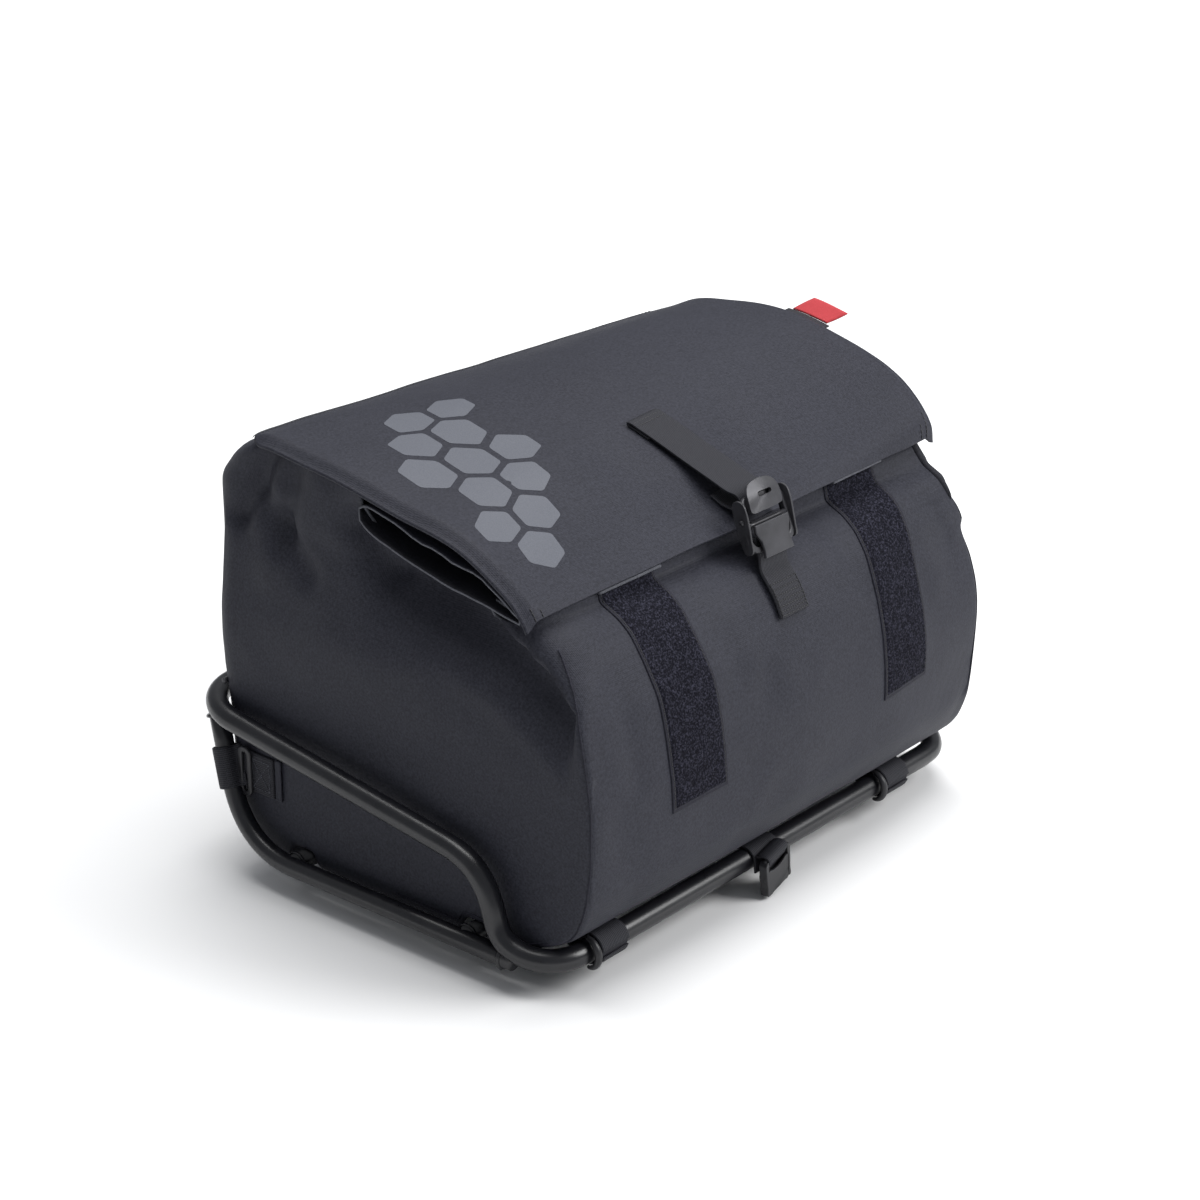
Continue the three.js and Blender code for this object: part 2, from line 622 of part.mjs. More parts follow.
addPiece('buckle_frame', plate(roundedPlate(buckleWidth, buckleLength, 4,
  { width: buckleWidth - 8, length: buckleLength - 8, radius: 2 }), plateThickness, 0, -plateThickness / 2),
'metal', buckle);
addPiece('buckle_cap', plate(roundedPlate(buckleWidth - 10, capLength, 3,
  { width: 12, length: 4, radius: 1.8 }), 4, 0.94 * buckleLength / 2, plateThickness / 2 + clearance),
'plastic', buckle);
const hookShape = new THREE.Shape([
  [-hookWidth, 0], [-hookTipWidth, -hookLength], [hookTipWidth, -hookLength], [hookWidth, 0],
].map(([width, y]) => new THREE.Vector2(width / 2, y)));
addPiece('hook_plate', plate(hookShape, 2.5, -1, plateThickness / 2 + clearance), 'metal', buckle);
const pinHalf = buckleWidth / 2 - 4 - clearance;
addPiece('buckle_pin', tubeAlong(
  [new THREE.Vector3(-pinHalf, 0, 0), new THREE.Vector3(pinHalf, 0, 0)], pinDiameter, 10), 'metal', buckle);

// A place in the buckle's plane, up along it and out of it, as (y, z)
function byBuckle(up, out) {
  const point = buckle.localToWorld(new THREE.Vector3(0, up, out));
  return new THREE.Vector2(point.y, point.z);
}

// Webbing of the flap: the strap, its loose end under it, and the sewn piece below the buckle

const flapSlope = 0.065;      // the flap rises this much to the right under the strap
const strapBack = plateThickness / 2 + clearance + webbingThickness / 2;
addPiece('top_strap', ribbon([
  overFlap(0.55, 1.1), overFlap(0.58, 1.1), overFlap(0.61, 1.3), overFlap(0.645, 2.4),
  overFlap(0.72, 6), overFlap(0.8, 8.2), byBuckle(buckleLength / 2 + 3, -strapBack - 1.2),
  byBuckle(buckleLength / 2 - 4, -strapBack - 0.7),
], 0, topStrapWidth, webbingThickness, flapSlope), 'webbing');
addPiece('strap_tail', ribbon([
  overFlap(0.785, 1.4), overFlap(0.83, 1.8), byBuckle(buckleLength / 2 - 7, -strapBack - 5),
], 0, topStrapWidth - 1, webbingThickness, flapSlope), 'webbing');

const onPanel = (height, lift) => new THREE.Vector2(-frontReach(height, 0) - lift, bodyZ(height));
addPiece('lower_strap', ribbon([
  byBuckle(-8, -strapBack), byBuckle(-buckleLength / 2, -strapBack), onPanel(0.625, 2.6), onPanel(0.6, 2),
  onPanel(0.57, 1.9), onPanel(0.544, 1.9),
], 0, topStrapWidth), 'webbing');

// Side tab on the flap's right edge

const tabGrid = [0, 1].map((out) => [0, 0.5, 1].map((share) => {
  const edge = flapPoint(tabPlace + share * tabWidth / flapLength, 1);
  edge.x += clearance + out * tabLength;
  edge.y -= out * 7;
  edge.z += 0.3 + out * 5;
  return edge;
}));
addPiece('side_tab', sheet(tabGrid, tabThickness), 'tab');

// Webbing round the front tube with its sliders

const wrapRadius = loopDiameter / 2 + 0.3 + webbingThickness / 2;
const underBag = bagBottom - clearance - webbingThickness / 2;
const frontWrap = (toDegrees, steps) => arcRoute(frontY, loopHeight, wrapRadius, 50, toDegrees, steps);

['left', 'right'].forEach((side, number) => {
  const place = baseStrapPlaces[number];
  addPiece(`base_strap_${side}`, ribbon([
    new THREE.Vector2(frontY + strapReach, underBag), new THREE.Vector2(frontY + strapTangent, underBag),
    ...frontWrap(270, 14),
    new THREE.Vector2(frontY + 9, loopHeight - wrapRadius + 0.8),
    new THREE.Vector2(frontY + 22, underBag - webbingThickness - 0.6),
    new THREE.Vector2(frontY + strapReach - 2, underBag - webbingThickness - 0.6),
  ], place, baseStrapWidth), 'webbing');
  const sliderWidth = 5;
  addPiece(`base_slider_${side}`, ribbon(
    arcRoute(frontY, loopHeight, wrapRadius + 0.8, 95, 255, 10),
    place - baseStrapWidth / 2 - clearance - sliderWidth / 2, sliderWidth, 2.6), 'plastic');
});

// Short webbing over the front tube with the open half of a side release buckle hanging in front

const hang = frontY - wrapRadius;
addPiece('center_webbing', ribbon([
  new THREE.Vector2(frontY + strapReach, underBag), new THREE.Vector2(frontY + strapTangent, underBag),
  ...frontWrap(180, 9),
  new THREE.Vector2(hang, loopHeight - 5),
], releasePlace, baseStrapWidth), 'webbing');

const releaseShell = new THREE.BoxGeometry(releaseWidth, releaseThickness, releaseLength);
const releaseSocket = new THREE.BoxGeometry(releaseWidth - 6, releaseThickness - 2.8, releaseLength - 9)
  .translate(0, 0, -6);
const releaseWindow = new THREE.BoxGeometry(releaseWidth - 8, releaseThickness + 2, 7)
  .translate(0, 0, releaseLength / 2 - 6.5);
const releaseBody = fromSolid(
  toSolid(releaseShell).subtract(toSolid(releaseSocket)).subtract(toSolid(releaseWindow)));
releaseBody.rotateY(THREE.MathUtils.degToRad(-8)).rotateZ(THREE.MathUtils.degToRad(8));
releaseBody.translate(releasePlace, hang - releaseThickness / 2 - 3.6, loopHeight - 6);
addPiece('release_buckle', releaseBody, 'plastic');

// Webbing from the end panels round the rear posts

const sideStrapHeight = baseHeight + sideStrapShare * postBendRadius;
const panelX = bagWidth / 2 * sectionAt((sideStrapHeight - bagBottom) / bagHeight, 'side');
const sleeveInner = baseDiameter / 2 + 2 * clearance;
const sleeveOuter = sleeveInner + webbingThickness;
const patchX = panelX + 0.5 + webbingThickness / 2;
const patchFront = bagBack * 0.8;

for (const [side, sign] of [['left', -1], ['right', 1]]) {
  const center = postAt(sign, sideStrapHeight);
  const lean = new THREE.Vector3().subVectors(postTop(sign), postFoot(sign)).normalize();
  const shape = new THREE.Shape().absarc(0, 0, sleeveOuter, 0, 2 * Math.PI);
  shape.holes.push(new THREE.Path().absarc(0, 0, sleeveInner, 0, 2 * Math.PI, true));
  const sleeve = new THREE.ExtrudeGeometry(shape, {
    depth: sideStrapWidth, bevelEnabled: false, curveSegments: 16,
  }).translate(0, 0, -sideStrapWidth / 2);
  const turn = new THREE.Quaternion().setFromUnitVectors(new THREE.Vector3(0, 0, 1), lean);
  sleeve.applyQuaternion(turn).translate(center.x, center.y, center.z);
  const tongueFrom = patchFront + clearance;
  const tongue = new THREE.BoxGeometry(webbingThickness, center.y - tongueFrom, sideStrapWidth - 6)
    .translate(sign * patchX, (center.y + tongueFrom) / 2, sideStrapHeight);
  const roomEnds = [-30, 30].map((reach) => center.clone().addScaledVector(lean, reach));
  const room = toSolid(tubeAlong(roomEnds, 2 * sleeveInner, 16));
  addPiece(`side_strap_${side}`, fromSolid(toSolid(sleeve).add(toSolid(tongue).subtract(room))), 'webbing');

  const patch = new THREE.BoxGeometry(webbingThickness, sidePatchLength, sideStrapWidth);
  patch.translate(sign * patchX, patchFront - sidePatchLength / 2, sideStrapHeight);
  addPiece(`side_patch_${side}`, patch, 'webbing');

  const slot = { width: 4, length: sideStrapWidth, radius: 1.5 };
  const sliderShape = roundedPlate(sideSliderLength, sideStrapWidth + 7, 4, slot);
  const slider = plate(sliderShape, 2.5, 0, -1.25).applyMatrix4(
    new THREE.Matrix4().set(0, 0, 1, 0, 1, 0, 0, 0, 0, 1, 0, 0, 0, 0, 0, 1));
  const sliderX = patchX + webbingThickness / 2 + clearance + 1.25;
  slider.translate(sign * sliderX, patchFront - 4.5, sideStrapHeight);
  addPiece(`side_slider_${side}`, slider, 'plastic');
}

object.updateMatrixWorld(true);
const reach = new THREE.Box3().setFromObject(object);
object.position.set(-(reach.min.x + reach.max.x) / 2, -(reach.min.y + reach.max.y) / 2, -reach.min.z);

export default object;
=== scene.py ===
import math

import bpy
import numpy as np
from mathutils import Matrix, Vector, noise


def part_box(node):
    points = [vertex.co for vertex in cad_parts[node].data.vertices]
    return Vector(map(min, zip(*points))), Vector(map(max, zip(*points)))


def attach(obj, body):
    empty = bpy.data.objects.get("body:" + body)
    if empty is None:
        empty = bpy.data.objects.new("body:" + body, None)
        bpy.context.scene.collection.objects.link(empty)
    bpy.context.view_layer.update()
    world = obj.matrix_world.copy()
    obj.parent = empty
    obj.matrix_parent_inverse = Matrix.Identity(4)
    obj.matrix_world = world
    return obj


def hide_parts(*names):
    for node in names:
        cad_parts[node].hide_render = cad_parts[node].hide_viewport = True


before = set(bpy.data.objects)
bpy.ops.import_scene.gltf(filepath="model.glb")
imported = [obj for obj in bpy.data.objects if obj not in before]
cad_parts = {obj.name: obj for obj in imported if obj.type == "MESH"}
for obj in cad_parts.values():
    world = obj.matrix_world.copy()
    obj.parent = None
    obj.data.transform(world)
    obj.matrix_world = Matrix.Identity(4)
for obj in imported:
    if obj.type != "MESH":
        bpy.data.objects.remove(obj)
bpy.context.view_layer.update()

# Shapes below are in the part's own millimetres, shifted so that the tray's foremost point meets the frame's
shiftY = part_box("tray_frame")[0].y + 0.1305


def toMetres(points):
    out = np.array(points, float).reshape(-1, 3) / 1000
    out[:, 1] += shiftY
    return out


# Camera, at the place that the photograph was taken from

camera = {"turn": -49.978, "height": 22.368, "at": (-1.2836, -1.0758, 0.8408), "lens": 87}


def addCamera():
    turn, height = math.radians(camera["turn"]), math.radians(camera["height"])
    right = Vector((math.cos(turn), math.sin(turn), 0))
    back = Vector((math.sin(turn) * math.cos(height), -math.cos(turn) * math.cos(height), math.sin(height)))
    up = back.cross(right)
    data = bpy.data.cameras.new("photo_camera")
    data.lens = camera["lens"]
    data.sensor_width = 36
    seen = bpy.data.objects.new("photo_camera", data)
    seen.matrix_world = Matrix.Translation(camera["at"]) @ Matrix((right, up, back)).transposed().to_4x4()
    bpy.context.scene.collection.objects.link(seen)
    bpy.context.scene.camera = seen
    print("camera placed")


addCamera()


# Socket maths for materials

class Wire:
    def __init__(self, finish, socket):
        self.finish = finish
        self.socket = socket

    def sum(self, operation, first, second):
        return self.finish.node("Math", {"operation": operation}, {0: first, 1: second})

    def __add__(self, other): return self.sum("ADD", self, other)
    def __radd__(self, other): return self.sum("ADD", other, self)
    def __sub__(self, other): return self.sum("SUBTRACT", self, other)
    def __rsub__(self, other): return self.sum("SUBTRACT", other, self)
    def __mul__(self, other): return self.sum("MULTIPLY", self, other)
    def __rmul__(self, other): return self.sum("MULTIPLY", other, self)


class Finish:
    def __init__(self, name, base, rough, specular=0.5, metal=0.0, sheen=0.0):
        self.material = bpy.data.materials.new(name)
        self.material.use_nodes = True
        self.tree = self.material.node_tree
        self.shader = self.tree.nodes["Principled BSDF"]
        self.material.diffuse_color = (*base, 1)
        for socket, value in (("Base Color", (*base, 1)), ("Roughness", rough), ("Metallic", metal),
                              ("Specular IOR Level", specular), ("Sheen Weight", sheen)):
            self.shader.inputs[socket].default_value = value

    # Any node: its kind, its settings first, then the values or links of its sockets
    def node(self, kind, settings=None, sockets=None, output=0):
        made = self.tree.nodes.new("ShaderNode" + kind)
        for name, value in (settings or {}).items():
            setattr(made, name, value)
        for name, value in (sockets or {}).items():
            self.plug(made.inputs[name], value)
        return Wire(self, made.outputs[output])

    def plug(self, socket, value):
        if isinstance(value, Wire):
            self.tree.links.new(value.socket, socket)
        elif isinstance(value, tuple) and len(value) == 3 and socket.type == "RGBA":
            socket.default_value = (*value, 1)
        else:
            socket.default_value = value

    def feed(self, name, value):
        self.plug(self.shader.inputs[name], value)

    def spot(self):
        return self.node("TexCoord", output="Object")

    def sewnSpot(self):
        return self.node("UVMap", {"uv_map": "sewn"})

    def axes(self, place):
        split = self.node("SeparateXYZ", None, {"Vector": place})
        names = split.socket.node.outputs
        return [Wire(self, names[axis]) for axis in "XYZ"]

    def noise(self, place, scale, detail=2.0, rough=0.5):
        return self.node("TexNoise", None, {"Vector": place, "Scale": scale, "Detail": detail, "Roughness": rough})

    def sine(self, value):
        return self.node("Math", {"operation": "SINE"}, {0: value})

    def blendColor(self, share, dark, light):
        return self.node("Mix", {"data_type": "RGBA"}, {"Factor": share, 6: dark, 7: light}, output=2)

    def bump(self, height, distance, strength=1.0):
        self.feed("Normal", self.node("Bump", None, {"Strength": strength, "Distance": distance, "Height": height}))


def spread(value, low, high):
    return value.finish.node("MapRange", None, {"Value": value, "From Min": low, "From Max": high})


# Coated cloth: a fine plain weave under a matt skin, with a mottled grain and faint broad shading
cloth = {"dark": (0.0135, 0.0140, 0.0205), "light": (0.0295, 0.0305, 0.0415), "rough": 0.6, "thread": 0.95}


def clothFinish(name, dark, light, rough):
    made = Finish(name, light, rough, specular=0.2)
    place = made.spot()
    x, y, z = made.axes(place)
    pitch = 2 * math.pi * 1000 / cloth["thread"]
    weave = made.sine(x * pitch) + made.sine(y * pitch) + made.sine(z * pitch)
    grain = made.noise(place, 620, 4, 0.65)
    broad = made.noise(place, 9, 2)
    made.feed("Base Color", made.blendColor(spread(grain * 0.85 + broad * 0.15, 0.36, 0.64), dark, light))
    made.feed("Roughness", spread(grain, 0.0, 1.0) * 0.16 + (rough - 0.08))
    made.bump(weave * 0.16 + grain, 0.00022, 0.55)
    return made.material


def webFinish(name, dark, light):
    made = Finish(name, light, 0.62, specular=0.2)
    u, v, _ = made.axes(made.sewnSpot())
    rib = made.sine(u * (2 * math.pi / 1.25))
    cross = made.sine(v * (2 * math.pi / 0.9) + rib * 1.2)
    fuzz = made.noise(made.spot(), 900, 3)
    height = rib * 0.5 + cross * 0.25 + fuzz * 0.4
    made.feed("Base Color", made.blendColor(spread(height, -0.6, 1.0), dark, light))
    made.bump(height, 0.0002, 0.8)
    return made.material


def tapeFinish(name, dark, light):
    made = Finish(name, light, 0.9, specular=0.1)
    place = made.spot()
    loops = made.noise(place, 820, 3, 0.6)
    clumps = made.noise(place, 260, 2)
    made.feed("Base Color", made.blendColor(spread(loops * 0.85 + clumps * 0.15, 0.47, 0.66), dark, light))
    made.bump(loops + clumps * 0.6, 0.0006, 1.0)
    return made.material


def hardFinish(name, dark, light, rough, metal, grainScale, depth, specular=0.5):
    made = Finish(name, light, rough, specular=specular, metal=metal)
    place = made.spot()
    grain = made.noise(place, grainScale, 3)
    wear = made.noise(place, 60, 4, 0.6)
    made.feed("Base Color", made.blendColor(spread(wear, 0.35, 0.7), dark, light))
    made.feed("Roughness", spread(grain * 0.5 + wear * 0.5, 0.2, 0.8) * 0.14 + (rough - 0.07))
    made.bump(grain, depth, 0.5)
    return made.material


def motifFinish():
    made = Finish("motif_print", (0.090, 0.095, 0.113), 0.5, specular=0.3)
    beads = made.noise(made.spot(), 1500, 2)
    share = spread(beads, 0.35, 0.65)
    made.feed("Base Color", made.blendColor(share, (0.082, 0.087, 0.104), (0.101, 0.106, 0.125)))
    made.bump(beads, 0.00008, 0.5)
    return made.material


def tabFinish():
    made = Finish("tab_weave", (0.44, 0.030, 0.038), 0.7, specular=0.3, sheen=0.1)
    u, v, _ = made.axes(made.sewnSpot())
    weave = made.sine(u * (2 * math.pi / 0.6)) + made.sine(v * (2 * math.pi / 0.6))
    fuzz = made.noise(made.spot(), 1200, 2)
    share = spread(weave * 0.2 + fuzz, 0.2, 0.9)
    made.feed("Base Color", made.blendColor(share, (0.38, 0.022, 0.030), (0.50, 0.038, 0.046)))
    made.bump(weave * 0.5 + fuzz, 0.00012, 0.7)
    return made.material


finishes = {
    "fabric": clothFinish("coated_cloth", cloth["dark"], cloth["light"], cloth["rough"]),
    "inside": clothFinish("cloth_inside", (0.012, 0.012, 0.016), (0.022, 0.0225, 0.029), 0.7),
    "edge": clothFinish("cut_edge", (0.060, 0.062, 0.074), (0.100, 0.103, 0.120), 0.6),
    "webbing": webFinish("ribbed_webbing", (0.0070, 0.0071, 0.0090), (0.038, 0.0385, 0.047)),
    "sewnWebbing": webFinish("sewn_webbing", (0.0055, 0.0056, 0.0072), (0.044, 0.0445, 0.054)),
    "tape": tapeFinish("loop_pile", (0.0045, 0.0045, 0.0080), (0.036, 0.036, 0.053)),
    "tapeEdge": clothFinish("tape_border", (0.010, 0.010, 0.016), (0.021, 0.021, 0.031), 0.7),
    "thread": hardFinish("sewing_thread", (0.010, 0.010, 0.012), (0.028, 0.028, 0.031), 0.55, 0.0, 2000, 0.0001),
    "plastic": hardFinish("moulded_nylon", (0.014, 0.014, 0.016), (0.022, 0.022, 0.026), 0.42, 0.0, 1400, 0.00006,
                          0.4),
    "metal": hardFinish("blackened_metal", (0.030, 0.030, 0.034), (0.050, 0.050, 0.057), 0.38, 0.3, 1100, 0.00004,
                        0.45),
    "tube": hardFinish("powder_coat", (0.0065, 0.0066, 0.0088), (0.0105, 0.0106, 0.0135), 0.31, 0.0, 900, 0.00006),
    "motif": motifFinish(),
    "tab": tabFinish(),
}
print("finishes made")


# Mesh helpers

def addMesh(name, points, faces, finish, slot, sewn=None, flat=False, others=(), faceFinish=None):
    mesh = bpy.data.meshes.new(name)
    mesh.from_pydata(toMetres(points).tolist(), [], [tuple(int(n) for n in face) for face in faces])
    for one in (finish, *others):
        mesh.materials.append(finishes[one])
    if faceFinish is not None:
        mesh.polygons.foreach_set("material_index", list(faceFinish))
    mesh.polygons.foreach_set("use_smooth", [not flat] * len(mesh.polygons))
    layer = mesh.uv_layers.new(name="sewn")
    loops = np.zeros(len(mesh.loops), int)
    mesh.loops.foreach_get("vertex_index", loops)
    flatPlaces = np.zeros((len(mesh.vertices), 2)) if sewn is None else np.array(sewn, float).reshape(-1, 2)
    layer.data.foreach_set("uv", flatPlaces[loops].ravel())
    mesh.validate()
    obj = bpy.data.objects.new(name, mesh)
    bpy.context.scene.collection.objects.link(obj)
    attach(obj, "root")
    return obj


def gridFaces(rows, columns, around=False, start=0):
    faces = []
    for row in range(rows - 1):
        for column in range(columns if around else columns - 1):
            after = (column + 1) % columns
            low = start + row * columns
            faces.append((low + column, low + after, low + columns + after, low + columns + column))
    return faces


def apply(obj, kind, **settings):
    made = obj.modifiers.new(kind.lower(), kind)
    for name, value in settings.items():
        setattr(made, name, value)
    bpy.context.view_layer.objects.active = obj
    with bpy.context.temp_override(object=obj, active_object=obj):
        bpy.ops.object.modifier_apply(modifier=made.name)


# Smooth value of a table at any places, with no overshoot between its rows
def readSmooth(places, values, at):
    places, values = np.array(places, float), np.array(values, float)
    step = np.diff(places)
    slope = np.diff(values) / step
    run = np.zeros(len(places))
    for n in range(1, len(places) - 1):
        if slope[n - 1] * slope[n] > 0:
            run[n] = 2 * slope[n - 1] * slope[n] / (slope[n - 1] + slope[n])
    run[0], run[-1] = slope[0], slope[-1]
    at = np.clip(np.array(at, float), places[0], places[-1])
    n = np.clip(np.searchsorted(places, at, side="right") - 1, 0, len(step) - 1)
    t = (at - places[n]) / step[n]
    return (values[n] * (1 + 2 * t) * (1 - t) ** 2 + run[n] * step[n] * t * (1 - t) ** 2
            + values[n + 1] * t * t * (3 - 2 * t) + run[n + 1] * step[n] * t * t * (t - 1))


# Smooth curve through points, at shares from 0 to 1 of its rows
def curvePoint(points, share):
    points = np.array(points, float)
    place = np.clip(share, 0, 1) * (len(points) - 1)
    n = min(int(place), len(points) - 2)
    t = place - n
    b, c = points[n], points[n + 1]
    a = points[n - 1] if n > 0 else 2 * b - c
    d = points[n + 2] if n + 2 < len(points) else 2 * c - b
    gaps = [max(np.linalg.norm(q - p), 1e-6) ** 0.5 for p, q in ((a, b), (b, c), (c, d))]
    start = ((b - a) / gaps[0] - (c - a) / (gaps[0] + gaps[1]) + (c - b) / gaps[1]) * gaps[1]
    end = ((c - b) / gaps[1] - (d - b) / (gaps[1] + gaps[2]) + (d - c) / gaps[2]) * gaps[1]
    return b + start * t + (3 * (c - b) - 2 * start - end) * t * t + (2 * (b - c) + start + end) * t ** 3


# Even steps along a smooth curve through points
def evenCurve(points, step):
    fine = np.array([curvePoint(points, s) for s in np.linspace(0, 1, 24 * len(points))])
    far = np.concatenate([[0], np.cumsum(np.linalg.norm(np.diff(fine, axis=0), axis=1))])
    count = max(3, int(round(far[-1] / step)) + 1)
    wanted = np.linspace(0, far[-1], count)
    return np.stack([np.interp(wanted, far, fine[:, axis]) for axis in range(fine.shape[1])], axis=1)


def unit(vectors):
    return vectors / np.maximum(np.linalg.norm(vectors, axis=-1, keepdims=True), 1e-9)


def ripple(point, size, depth, seed=0.0):
    return noise.noise(Vector((point[0] / size + seed, point[1] / size - seed, point[2] / size))) * depth


def smoothStep(value, low, high):
    t = np.clip((value - low) / (high - low), 0, 1)
    return t * t * (3 - 2 * t)


# Faces that close the first and last ring of a form
def endCaps(rows, size):
    return [tuple(reversed(range(size))), tuple(range((rows - 1) * size, rows * size))]


# Round tube along points, closed on itself or with capped ends
def tubeShape(points, radius, sides=24, closed=False):
    points = np.array(points, float)
    if closed:
        run = unit(np.roll(points, -1, 0) - np.roll(points, 1, 0))
    else:
        run = unit(np.gradient(points, axis=0))
    start = np.cross(run[0], (0, 0, 1))
    if np.linalg.norm(start) < 0.1:
        start = np.cross(run[0], (0, 1, 0))
    side = unit(start)
    rings = []
    for point, along in zip(points, run):
        side = unit(side - along * (side @ along))
        other = np.cross(along, side)
        angle = np.linspace(0, 2 * math.pi, sides, endpoint=False)[:, None]
        rings.append(point + radius * (np.cos(angle) * side + np.sin(angle) * other))
    shape = np.concatenate(rings)
    faces = gridFaces(len(points), sides, around=True)
    if closed:
        first, last = rings[0], rings[-1]
        turn = int(np.argmin(np.linalg.norm(last - first[0], axis=1)))
        low = (len(points) - 1) * sides
        for n in range(sides):
            faces.append((low + (n + turn) % sides, low + (n + 1 + turn) % sides, (n + 1) % sides, n))
    else:
        faces += endCaps(len(points), sides)
    return shape, faces


def joinShapes(shapes):
    points, faces, count = [], [], 0
    for shape, some in shapes:
        points.append(np.array(shape, float).reshape(-1, 3))
        faces += [tuple(n + count for n in face) for face in some]
        count += len(points[-1])
    return np.concatenate(points), faces


def addJoined(name, shapes, finish, slot):
    points, faces = joinShapes(shapes)
    return addMesh(name, points, faces, finish, slot)


selvedge = 0.8      # mm


# Flat band: centres and directions across, with rounded selvedges and a sewn map in mm
def bandShape(centers, across, width, thickness, columns):
    centers, across = np.array(centers, float), unit(np.array(across, float))
    if across.ndim == 1:
        across = np.repeat(across[None], len(centers), 0)
    out = unit(np.cross(across, unit(np.gradient(centers, axis=0))))
    far = np.concatenate([[0], np.cumsum(np.linalg.norm(np.diff(centers, axis=0), axis=1))])
    rim = selvedge / width
    flat = np.concatenate([[-1, -1 + rim / 2], np.linspace(-1 + 2 * rim, 1 - 2 * rim, columns), [1 - rim / 2, 1]])
    swell = np.concatenate([[0.0, 0.7], np.ones(columns), [0.7, 0.0]])
    ringX = np.concatenate([flat, flat[-2:0:-1]]) * width / 2
    ringZ = np.concatenate([swell, -swell[-2:0:-1]]) * thickness / 2
    points = centers[:, None] + ringX[None, :, None] * across[:, None] + ringZ[None, :, None] * out[:, None]
    sewn = np.stack(np.broadcast_arrays(ringX[None, :], far[:, None]), axis=-1)
    size = len(ringX)
    faces = gridFaces(len(centers), size, around=True) + endCaps(len(centers), size)
    return points.reshape(-1, 3), faces, sewn.reshape(-1, 2)


def addBand(name, centers, across, width, thickness, columns, finish="webbing", slot="webbing"):
    points, faces, sewn = bandShape(centers, across, width, thickness, columns)
    return addMesh(name, points, faces, finish, slot, sewn)


# Band of webbing along a route in the y-z plane
def routeBand(name, route, place, width, thickness, slope=0.0, finish="webbing", step=1.5, columns=14):
    even = evenCurve(route, step)
    centers = np.column_stack([np.full(len(even), place), even])
    return addBand(name, centers, (1, 0, slope), width, thickness, columns, finish)


# Row of stitches along points, lying on the cloth
def stitchShapes(points, outward, pitch=3.2, thread=0.28, lift=0.1):
    even = evenCurve(points, pitch)
    outs = unit(np.array([curvePoint(outward, s) for s in np.linspace(0, 1, len(even))]))
    arch = ((0.08, -0.25), (0.2, lift), (0.5, lift + 0.12), (0.8, lift), (0.92, -0.25))
    return [tubeShape([a + (b - a) * share + out * rise for share, rise in arch], thread, 6)
            for a, b, out in zip(even[:-1], even[1:], outs[:-1])]


def closedCurve(points, step):
    return [tuple(point) for point in evenCurve(points + points[:1], step)[:-1]]


# Plate from an outline in its own plane, with an optional hole of as many points, and rounded edges
def addPlate(name, outer, inner, thickness, matrix, finish, slot, edge=0.5, lift=0.0, bend=None):
    count, layers = len(outer), []
    for z in (lift, lift + thickness):
        layers += [(x, y, z) for x, y in outer]
        if inner is not None:
            layers += [(x, y, z) for x, y in inner]
    size = count * (2 if inner is not None else 1)
    faces = []
    for n in range(count):
        after = (n + 1) % count
        faces.append((n, after, size + after, size + n))
        if inner is not None:
            faces.append((count + after, count + n, size + count + n, size + count + after))
            faces.append((size + n, size + after, size + count + after, size + count + n))
            faces.append((n, count + n, count + after, after))
    if inner is None:
        faces.append(tuple(reversed(range(count))))
        faces.append(tuple(range(size, 2 * size)))
    points = np.array(layers, float)
    if bend:
        points = np.array([bend(point) for point in points])
    placed = np.array([matrix @ Vector(point) for point in points])
    obj = addMesh(name, placed, faces, finish, slot, flat=True)
    apply(obj, "BEVEL", width=edge / 1000, segments=3, limit_method="ANGLE", angle_limit=math.radians(40))
    obj.data.shade_smooth()
    apply(obj, "WEIGHTED_NORMAL", keep_sharp=False)
    return obj


def roundedLoop(width, length, radius, corner=8):
    points = []
    for sx, sy, turn in ((1, 1, 0), (-1, 1, 1), (-1, -1, 2), (1, -1, 3)):
        for step in range(corner + 1):
            angle = (turn + step / corner) * math.pi / 2
            points.append((sx * (width / 2 - radius) + radius * math.cos(angle),
                           sy * (length / 2 - radius) + radius * math.sin(angle)))
    return points


# Tray of bent tube

tray = {"width": 408, "frontY": -123.5, "rearY": 123.5, "rearRailY": 163.5, "loop": 14, "base": 12,
        "loopZ": 22, "baseZ": 21, "frontRise": 60, "rearRise": 88, "frontBend": 34, "rearBend": 36, "postBend": 55}
frontBend = [(1, 0, 0), (0.62, 0.06, 0), (0.3, 0.26, 0.01), (0.09, 0.57, 0.05), (0, 0.9, 0.14), (0, 1.1, 0.27),
             (0, 1.24, 0.5), (0, 1.4, 0.68), (0, 1.66, 0.83), (0, 2.02, 0.92), (0, 2.5, 0.97)]
railX = tray["width"] / 2
crossPlaces = (tray["frontY"] + 66, tray["rearY"] - 40)


